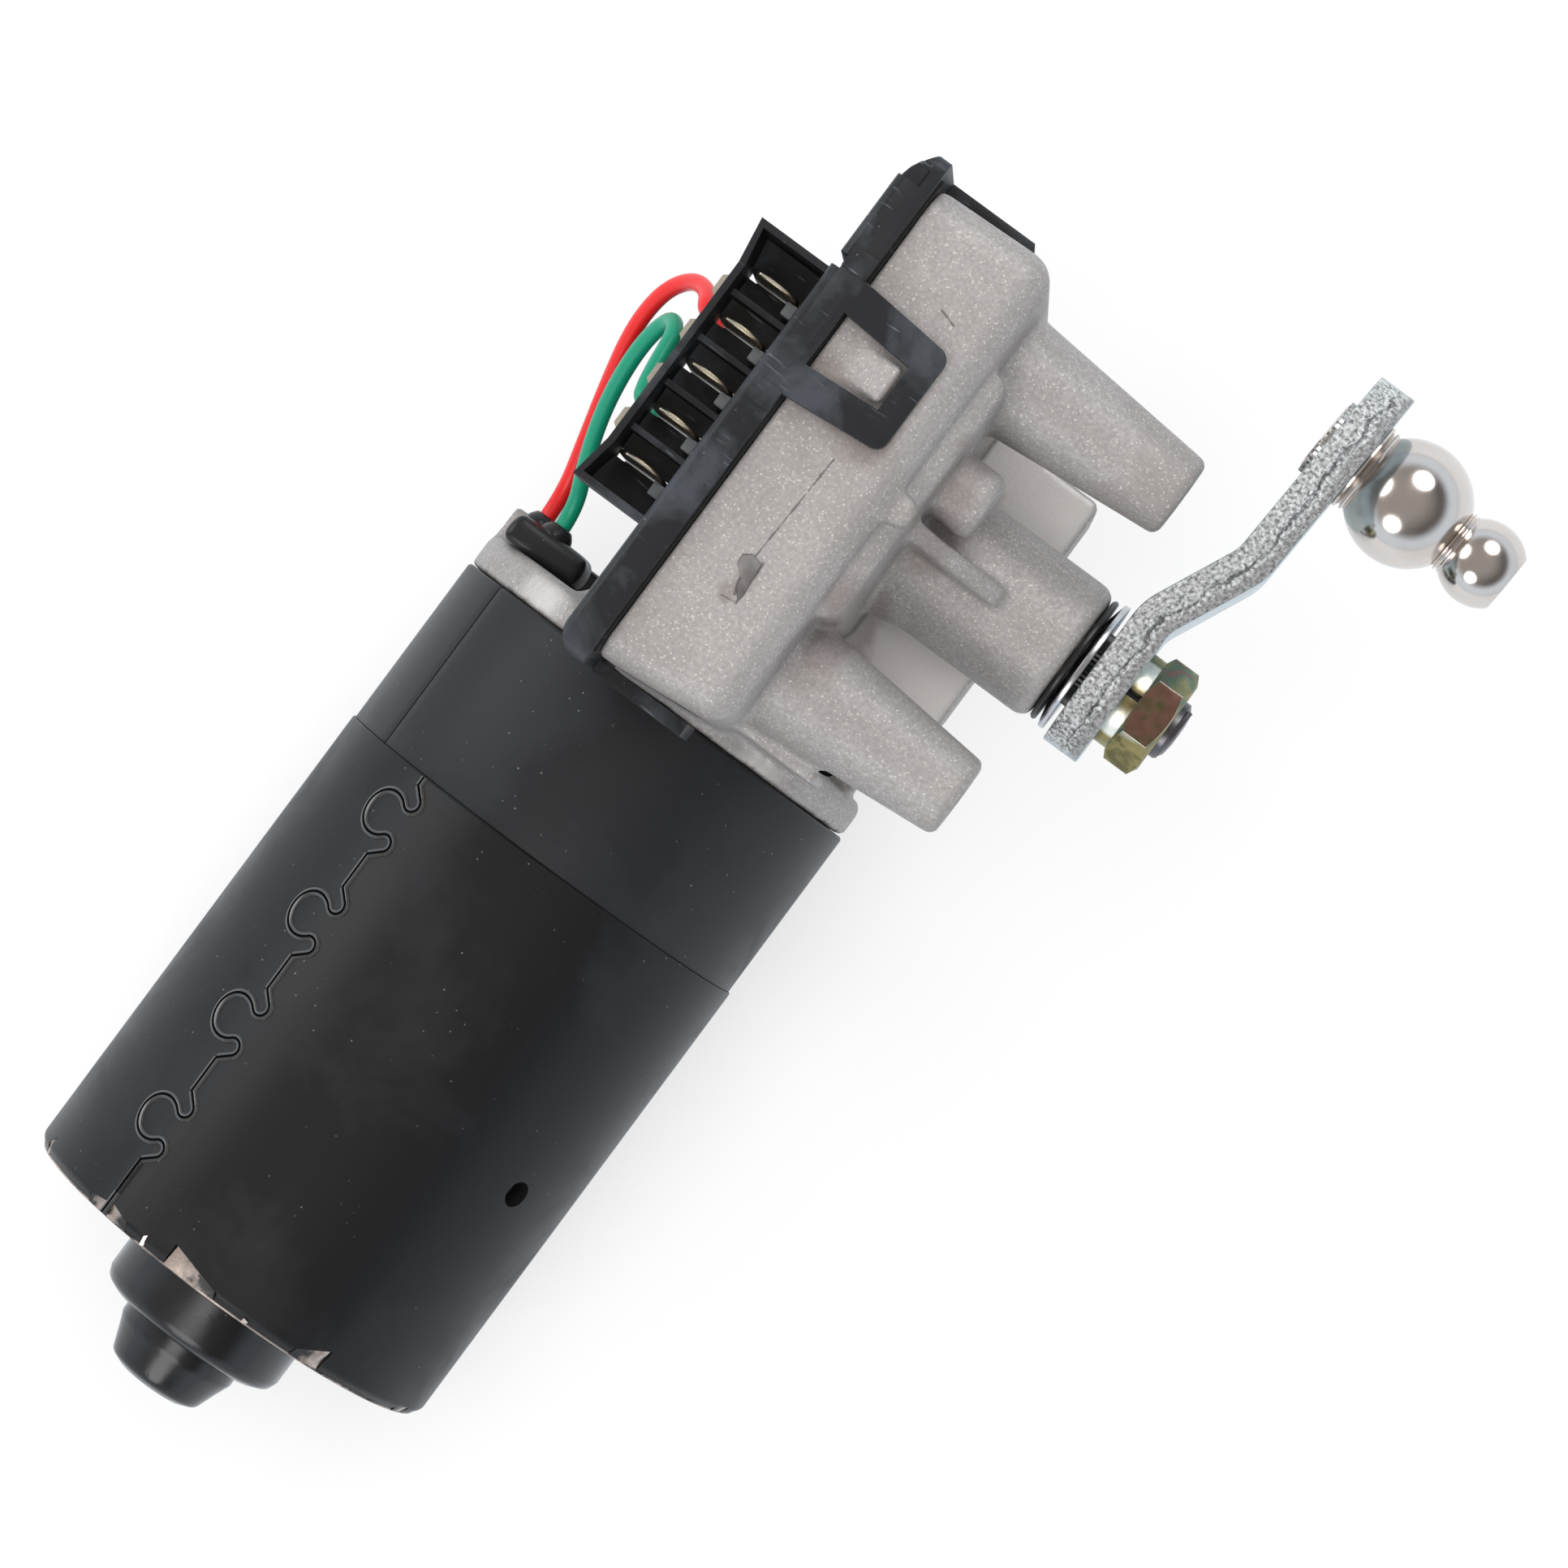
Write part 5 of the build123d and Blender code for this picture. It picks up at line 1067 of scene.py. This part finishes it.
class WIPER_OT_tubes(bpy.types.Operator):
    """Rounds the lips of the upper tube's seam and the end cap"""

    bl_idname = "wiper.tubes"
    bl_label = "Upper Tube and End Cap"

    def execute(self, context):
        for node, name, slot, width in (
            ("brush_shell", "upper_tube", "tube_paint", 0.00012),
            ("end_plate", "end_cap", "cap_paint", 0.0004),
        ):
            set_place(bevelled_copy(node, name, slot, width, 2, 35.0), "root", slot, node)
        return {"FINISHED"}


class WIPER_OT_yoke(bpy.types.Operator):
    """Rolls the yoke tube with its rim, its vent and the notches of its crimps"""

    bl_idname = "wiper.yoke"
    bl_label = "Yoke Tube"

    def execute(self, context):
        bm = bmesh.new()
        inner = YOKE_R - YOKE_WALL
        outline = [(YOKE_LOW, inner), (YOKE_LOW, YOKE_R - 0.0009), (YOKE_LOW + 0.0011, YOKE_R),
                   (YOKE_HIGH, YOKE_R), (YOKE_HIGH, inner), (YOKE_LOW, inner)]
        lathe(bm, rounded_profile(outline, 0.0004), MOTOR_AXIS, Vector((0, 1, 0)), Vector((0, 0, 1)), 288)
        yoke = new_piece("rolled_yoke", bm, "yoke_paint")
        bm = bmesh.new()
        middle = around_motor(VENT_Y, 0.0, 0.0)
        out = around_motor(VENT_Y, 1.0, VENT_ANGLE) - middle
        drill = [(0.02, 0.0), (0.02, VENT_R), (0.04, VENT_R), (0.04, 0.0)]
        lathe(bm, drill, middle, out, Vector((0, 1, 0)), 48)
        for degrees, width, left, right, _ in STAKES:
            notch = bmesh.new()
            brick(
                notch, (-width / 2, YOKE_LOW - CUTTER_MARGIN, YOKE_R - 0.0012),
                (width / 2, YOKE_LOW + left, YOKE_R + CUTTER_MARGIN),
            )
            for vert in notch.verts:
                if vert.co.y > YOKE_LOW and vert.co.x > 0:
                    vert.co.y = YOKE_LOW + right
            notch.transform(Matrix.Translation(MOTOR_AXIS) @ Matrix.Rotation(math.radians(degrees), 4, "Y"))
            mesh = bpy.data.meshes.new("notch")
            notch.to_mesh(mesh)
            notch.free()
            bm.from_mesh(mesh)
        cutter = new_piece("yoke_cutter", bm, "yoke_paint")
        modify(yoke, "Vent and Notches", "BOOLEAN", operation="DIFFERENCE", object=cutter, solver="EXACT")
        apply_modifiers(yoke, 35.0)
        bpy.data.objects.remove(cutter)
        set_place(yoke, "root", "yoke_paint", "yoke_tube")
        return {"FINISHED"}


def crimp_shell(bm, stake, under, shine):
    """One skin of a crimp mark, as rows of vertices from the rim up. Notes how bright each vertex is, as painted
    light: bare steel brightest at the lit end and near the rim.
    """
    degrees, width, left, right, bright = stake
    half = math.degrees(width / YOKE_R) / 2
    rows = []
    for i in range(4):
        rise = i / 3
        row = []
        for j in range(7):
            across = j / 6
            dip = (0.00055 + 0.00025 * across) * (1 - rise) + 0.00006
            angle = degrees + half * (2 * across - 1) * (1.0 - 0.1 * rise)
            height = YOKE_LOW + 0.00006 + (left + (right - left) * across) * rise
            row.append(bm.verts.new(around_motor(height, YOKE_R - dip - under, angle)))
            # Painted light: bare bright steel towards the lit end and the rim, black paint as painted shade
            # towards the other end
            toward = across if bright > 0 else 1 - across if bright < 0 else 1.0
            shine.append(toward ** 1.3 * (1.0 - 0.3 * rise))
        rows.append(row)
    return rows


class WIPER_OT_crimps(bpy.types.Operator):
    """Presses in the crimp marks round the yoke's rim, bare steel with painted light at one end"""

    bl_idname = "wiper.crimps"
    bl_label = "Crimp Marks"

    def execute(self, context):
        bm = bmesh.new()
        shine = []
        for stake in STAKES:
            outer = crimp_shell(bm, stake, 0.0, shine)
            inner = crimp_shell(bm, stake, 0.0007, shine)
            for rows, flip in ((outer, 1), (inner, -1)):
                for low, high in zip(rows, rows[1:]):
                    for j in range(6):
                        bm.faces.new((low[j], low[j + 1], high[j + 1], high[j])[::flip])
            for j in range(6):
                bm.faces.new((outer[0][j], inner[0][j], inner[0][j + 1], outer[0][j + 1]))
                bm.faces.new((outer[3][j], outer[3][j + 1], inner[3][j + 1], inner[3][j]))
            for i in range(3):
                bm.faces.new((outer[i][0], outer[i + 1][0], inner[i + 1][0], inner[i][0]))
                bm.faces.new((outer[i][6], inner[i][6], inner[i + 1][6], outer[i + 1][6]))
        marks = new_piece("crimp_marks", bm, "rim_steel")
        bead_r, bead_y, inset, steps = 0.00017, 0.0001, 0.00088, 8
        bm = bmesh.new()
        profile = []
        for k in range(steps + 1):
            angle = 2 * math.pi * k / steps
            profile.append((
                YOKE_LOW + bead_y - bead_r * math.cos(angle), YOKE_R - inset + bead_r * math.sin(angle),
            ))
        lathe(bm, profile, MOTOR_AXIS, Vector((0, 1, 0)), Vector((0, 0, 1)), 192)
        edge = new_piece("worn_rim_edge", bm, "rim_steel", 60.0)
        worn = []
        for vert in edge.data.vertices:
            angle = math.atan2(vert.co.x - MOTOR_X, vert.co.z - MOTOR_Z)
            worn.append(0.28 + 0.30 * math.sin(2.3 * angle + 0.9) ** 2 + 0.12 * math.sin(17.0 * angle))
        for piece, brightness in ((marks, shine), (edge, worn)):
            piece.data.attributes.new("shine", "FLOAT", "POINT").data.foreach_set("value", brightness)
            set_place(piece, "root", "spring_steel")
        return {"FINISHED"}


class WIPER_OT_seam(bpy.types.Operator):
    """Winds the interlocking seam and its raised lips over the yoke, with a black strip of painted shade along its
    gap
    """

    bl_idname = "wiper.seam"
    bl_label = "Interlocking Seam"

    def execute(self, context):
        settings = context.scene.wiper_seam
        tree = lock_seam_tree()
        place = Matrix.Translation(Vector((MOTOR_X, YOKE_LOW, MOTOR_Z)))
        for name, slot, finish, width, height in (
            ("seam_lips", "cap_paint", "seam_paint", settings.lip_width, settings.lip_height),
            # Painted shade: the black strip along the middle of the seam stands in for the shaded gap
            ("seam_gap", "seal_rubber", "seam_shadow", settings.gap_width, settings.lip_height * 1.2),
        ):
            piece = piece_from_tree(
                name, tree, finish, place, Bulbs=settings.bulbs, Pitch=settings.pitch,
                First_Bulb=settings.first_bulb, Length=YOKE_HIGH - YOKE_LOW, Bead_Width=width,
                Bead_Height=height, Shell_Radius=YOKE_R, Seam_Angle=math.radians(SEAM_ANGLE),
            )
            set_place(piece, "root", slot)
        return {"FINISHED"}


class WIPER_OT_flake(bpy.types.Operator):
    """Raises the small flake on the housing's face"""

    bl_idname = "wiper.flake"
    bl_label = "Casting Flake"

    def execute(self, context):
        bm = bmesh.new()
        middle = Vector((sum(x for x, _ in FLAKE) / len(FLAKE), sum(y for _, y in FLAKE) / len(FLAKE)))
        rings = []
        for share, rise in ((1.0, -0.0003), (1.0, 0.00004), (0.86, 0.00052), (0.5, 0.00060)):
            ring = []
            for index, outer in enumerate(FLAKE):
                spot = middle.lerp(Vector(outer), share)
                tip = 0.00008 * math.sin(index * 2.1) if share < 1.0 else 0.0
                ring.append(bm.verts.new((spot.x, spot.y, FACE_Z + rise + tip)))
            rings.append(ring)
        stack(bm, rings)
        set_place(new_piece("casting_flake", bm, "torn_alloy", 25.0), "root", "cast_aluminium")
        return {"FINISHED"}


class WIPER_OT_fasteners(bpy.types.Operator):
    """Rounds the nut, the washers and the flange screws"""

    bl_idname = "wiper.fasteners"
    bl_label = "Nut, Washers and Screws"

    def execute(self, context):
        for node, name, body, slot, finish, width in (
            ("crank_nut", "zinc_nut", "output", "yellow_zinc", "nut_zinc", 0.00032),
            ("spring_washer", "split_washer", "output", "yellow_zinc", "yellow_zinc", 0.0003),
            ("dished_washer", "steel_washer", "output", "washer_steel", "washer_steel", 0.00015),
            ("flange_screws", "black_screws", "root", "black_steel", "black_steel", 0.0003),
        ):
            piece = bevelled_copy(node, name, finish, width)
            if node == "crank_nut":
                piece.data.transform(Matrix.Rotation(math.radians(30.0), 4, "X"))
            set_place(piece, body, slot, node)
        return {"FINISHED"}


class WIPER_OT_knurls(bpy.types.Operator):
    """Cuts the shaft's knurl and the coined edge of the riveted stud"""

    bl_idname = "wiper.knurls"
    bl_label = "Knurls"

    def execute(self, context):
        tree = tooth_ring_tree()
        knurl = piece_from_tree(
            "shaft_knurl", tree, "black_steel", facing_along(Vector((0.0032, 0, 0)), (1, 0, 0)),
            Count=context.scene.wiper_drive.knurl_count, Radius=0.0049, Tooth=0.0005, Length=0.0018,
        )
        set_place(knurl, "output", "black_steel")
        rivet = piece_from_tree(
            "coined_rivet_edge", tree, "crank_zinc", facing_along(STUD_BASE - STUD_WAY * 0.0054, STUD_WAY),
            Count=36, Radius=0.0050, Tooth=0.0004, Length=0.0007,
        )
        set_place(rivet, "output", "crank_zinc")
        return {"FINISHED"}


class WIPER_OT_thread(bpy.types.Operator):
    """Winds the thread on the shaft's end"""

    bl_idname = "wiper.thread"
    bl_label = "Shaft Thread"

    def execute(self, context):
        thread = piece_from_tree(
            "shaft_thread", thread_tree(), "shaft_steel", facing_along(Vector((0.0149, 0, 0)), (1, 0, 0)),
            Radius=0.00372, Pitch=context.scene.wiper_drive.thread_pitch, Turns=0.9, Ridge=0.00035,
        )
        set_place(thread, "output", "shaft_steel")
        return {"FINISHED"}


class WIPER_OT_grommet(bpy.types.Operator):
    """Swells the rubber grommet and its lead collars"""

    bl_idname = "wiper.grommet"
    bl_label = "Lead Grommet"

    def execute(self, context):
        low, high = (Vector(corner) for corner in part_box("lead_grommet"))
        middle = (low + high) / 2
        half = (high - low) / 2
        bm = bmesh.new()
        bmesh.ops.create_cube(bm, size=2.0)
        bmesh.ops.subdivide_edges(bm, edges=bm.edges, cuts=1, use_grid_fill=True)
        for vert in bm.verts:
            swell = 0.94 if vert.co.y > 0.5 else 1.0
            vert.co = middle + Vector((vert.co.x * half.x * swell, vert.co.y * half.y, vert.co.z * half.z * swell))
        grommet = new_piece("rubber_grommet", bm, "seal_rubber")
        modify(grommet, "Moulded Round", "BEVEL", width=0.0012, segments=3)
        modify(grommet, "Soft", "SUBSURF", levels=2, render_levels=2)
        set_place(apply_modifiers(grommet, 80.0), "root", "seal_rubber", "lead_grommet")
        for name, (_, route) in ROUTES.items():
            bm = bmesh.new()
            lathe(bm, rounded_profile(COLLAR, 0.0004), Vector(route[0]), Vector((0, 1, 0)), Vector((1, 0, 0)), 40)
            set_place(new_piece(f"{name}_lead_collar", bm, "seal_rubber"), "root", "seal_rubber")
        return {"FINISHED"}


class WIPER_OT_terminals(bpy.types.Operator):
    """Shapes the bowed blades, their solder tabs and their moulded feet"""

    bl_idname = "wiper.terminals"
    bl_label = "Blade Terminals"

    def execute(self, context):
        settings = context.scene.wiper_terminals
        low, high = (Vector(corner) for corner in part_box("terminal_blades"))
        half = settings.width / 2
        end = BLADE_X + half
        steps = 14
        bm = bmesh.new()
        feet = bmesh.new()
        for cell in range(settings.count):
            y = (cell - (settings.count - 1) / 2) * settings.pitch
            rows = []
            for k in range(steps + 1):
                t = k / steps
                x = BLADE_X - half + t * settings.width
                thick = settings.thickness / 2 * (0.62 + 0.38 * math.sin(math.pi * min(1.0, t * 1.15)) ** 0.6)
                bow = 0.00022 * math.sin(math.pi * t)
                tip = high.z - 0.0009 * abs(2 * t - 1) ** 6
                rows.append([bm.verts.new((x, y + bow + thick * share, top)) for share, top in (
                    (-1.0, low.z), (-1.0, tip - 0.00045), (-0.76, tip - 0.00017), (-0.3, tip), (0.3, tip),
                    (0.76, tip - 0.00017), (1.0, tip - 0.00045), (1.0, low.z),
                )])
            stack(bm, rows)
            if cell:
                tail = low.x + 0.0006
                tab_y = y - 0.0028
                outline = ((tail, -0.0011), (tail + 0.0008, -0.0017), (end, -0.0017), (end, 0.0017),
                           (tail + 0.0008, 0.0017), (tail, 0.0011))
                levels = (TAB_Z, TAB_Z + settings.thickness)
                stack(bm, [[bm.verts.new((x, tab_y + dy, z)) for x, dy in outline] for z in levels])
            brick(feet, (end - 0.0009, y - 0.0022, 0.0150), (end + 0.0006, y - 0.0004, 0.0250))
        blades = new_piece("bowed_blades", bm, "tinned_brass", 30.0)
        set_place(blades, "root", "tinned_brass", "terminal_blades")
        feet = new_piece("blade_feet", feet, "blade_feet")
        modify(feet, "Moulded Round", "BEVEL", width=0.0002, segments=2)
        set_place(apply_modifiers(feet), "root", "card_plastic")
        return {"FINISHED"}


class WIPER_OT_stage(bpy.types.Operator):
    """Makes the pale floor, the soft lights and the camera"""

    bl_idname = "wiper.stage"
    bl_label = "Floor, Lights and Camera"

    def execute(self, context):
        settings = context.scene.wiper_camera
        scene = context.scene
        scene.view_settings.view_transform = "Standard"
        floor_z = CAD_BOX[0][2] - 0.0002
        half = settings.floor_size / 2
        bm = bmesh.new()
        corners = ((-half, -half), (half, -half), (half, half), (-half, half))
        bm.faces.new([bm.verts.new((x, y, floor_z)) for x, y in corners])
        f = Finish("Pale Floor", 0.9)
        ray = f.add("ShaderNodeLightPath").outputs
        tint = f.mix(ray["Is Glossy Ray"], (1.0, 1.0, 1.0), (0.86, 0.93, 1.0))
        white = f.add("ShaderNodeEmission", {"Strength": 1.0, "Color": tint}).outputs["Emission"]
        seen = f.maths("MAXIMUM", ray["Is Camera Ray"], ray["Is Glossy Ray"])
        blend = {0: f.times(seen, 0.62), 1: f.shader.outputs["BSDF"], 2: white}
        f.feed(f.output.inputs["Surface"], f.add("ShaderNodeMixShader", blend).outputs["Shader"])
        new_piece("pale_floor", bm, f.finish(settings.floor_colour, 0.9))

        scene.world = bpy.data.worlds.new("Soft Studio")
        scene.world.use_nodes = True
        w = Graph(scene.world.node_tree)
        way = w.add("ShaderNodeTexCoord").outputs["Generated"]
        height = w.axes(way)["Z"]
        lit_side = w.spread(w.vectors("DOT_PRODUCT", way, (-0.82, -0.24, 0.0)), -0.45, 0.55)
        ceiling = w.mix(lit_side, settings.overhead_colour, settings.zenith_colour)
        ceiling = w.mix(w.spread(height, 0.62, 0.95), ceiling, settings.zenith_colour)
        sky = w.mix(w.spread(height, 0.26, 0.50), settings.side_colour, ceiling)
        background = w.tree.nodes["Background"].inputs
        w.feed(background["Color"], sky)
        w.feed(background["Strength"], settings.world_strength)
        w.arrange()

        tilt, roll = settings.tilt, settings.roll
        back = Vector((math.sin(tilt), 0.0, math.cos(tilt)))
        across = Vector((math.cos(tilt), 0.0, -math.sin(tilt)))
        right = Vector((0, 1, 0)) * math.cos(roll) + across * math.sin(roll)
        up = Vector((0, 1, 0)) * math.sin(roll) - across * math.cos(roll)
        target = Vector(settings.target)
        for name, (side, rise, height, size, watts) in LAMPS.items():
            data = bpy.data.lights.new(name, "AREA")
            data.shape = "DISK"
            data.size = size
            data.energy = watts
            lamp = add_object(name, data)
            place = target + right * side + up * rise + Vector((0, 0, height))
            lamp.matrix_world = facing_along(place, place - target)
            lamp.visible_glossy = name != "fill_softbox"

        data = bpy.data.cameras.new("photo_camera")
        data.lens = settings.lens
        data.sensor_width = 36.0
        data.clip_end = 20.0
        scene.camera = add_object("photo_camera", data)
        turn = Matrix((right, up, back)).transposed().to_4x4()
        scene.camera.matrix_world = Matrix.Translation(target + back * settings.distance) @ turn
        return {"FINISHED"}


class WIPER_PT_panel(bpy.types.Panel):
    """Sizes and colours of the wiper motor, and its pieces"""

    bl_idname = "WIPER_PT_panel"
    bl_label = "Wiper Motor"
    bl_space_type = "VIEW_3D"
    bl_region_type = "UI"
    bl_category = "Wiper Motor"

    def draw(self, context):
        for name in SETTINGS:
            box = self.layout.box()
            box.label(text=name.replace("_", " ").title())
            settings = getattr(context.scene, name)
            for prop in settings.bl_rna.properties:
                if prop.identifier not in ("rna_type", "name"):
                    box.prop(settings, prop.identifier)
        for operator in OPERATORS:
            self.layout.operator(operator.bl_idname)


SETTINGS = {
    "wiper_camera": CameraSettings,
    "wiper_casting": CastingSettings,
    "wiper_paint": PaintSettings,
    "wiper_terminals": TerminalSettings,
    "wiper_seam": SeamSettings,
    "wiper_drive": DriveSettings,
    "wiper_leads": LeadSettings,
}
OPERATORS = (
    WIPER_OT_finishes, WIPER_OT_stage, WIPER_OT_leads, WIPER_OT_casting, WIPER_OT_cover, WIPER_OT_crank,
    WIPER_OT_ball_stud, WIPER_OT_tubes, WIPER_OT_yoke, WIPER_OT_crimps, WIPER_OT_seam, WIPER_OT_flake,
    WIPER_OT_fasteners, WIPER_OT_knurls, WIPER_OT_thread, WIPER_OT_grommet, WIPER_OT_terminals,
)


def register():
    """Registers the settings, the operators and the panel."""
    for name, group in SETTINGS.items():
        bpy.utils.register_class(group)
        setattr(bpy.types.Scene, name, PointerProperty(type=group))
    for operator in OPERATORS:
        bpy.utils.register_class(operator)
    bpy.utils.register_class(WIPER_PT_panel)


def unregister():
    """Takes the panel, the operators and the settings away again."""
    bpy.utils.unregister_class(WIPER_PT_panel)
    for operator in reversed(OPERATORS):
        bpy.utils.unregister_class(operator)
    for name, group in reversed(SETTINGS.items()):
        delattr(bpy.types.Scene, name)
        bpy.utils.unregister_class(group)


def main():
    """Makes the whole motor."""
    register()
    for operator in OPERATORS:
        family, name = operator.bl_idname.split(".")
        getattr(getattr(bpy.ops, family), name)()


if __name__ == "__main__":
    main()
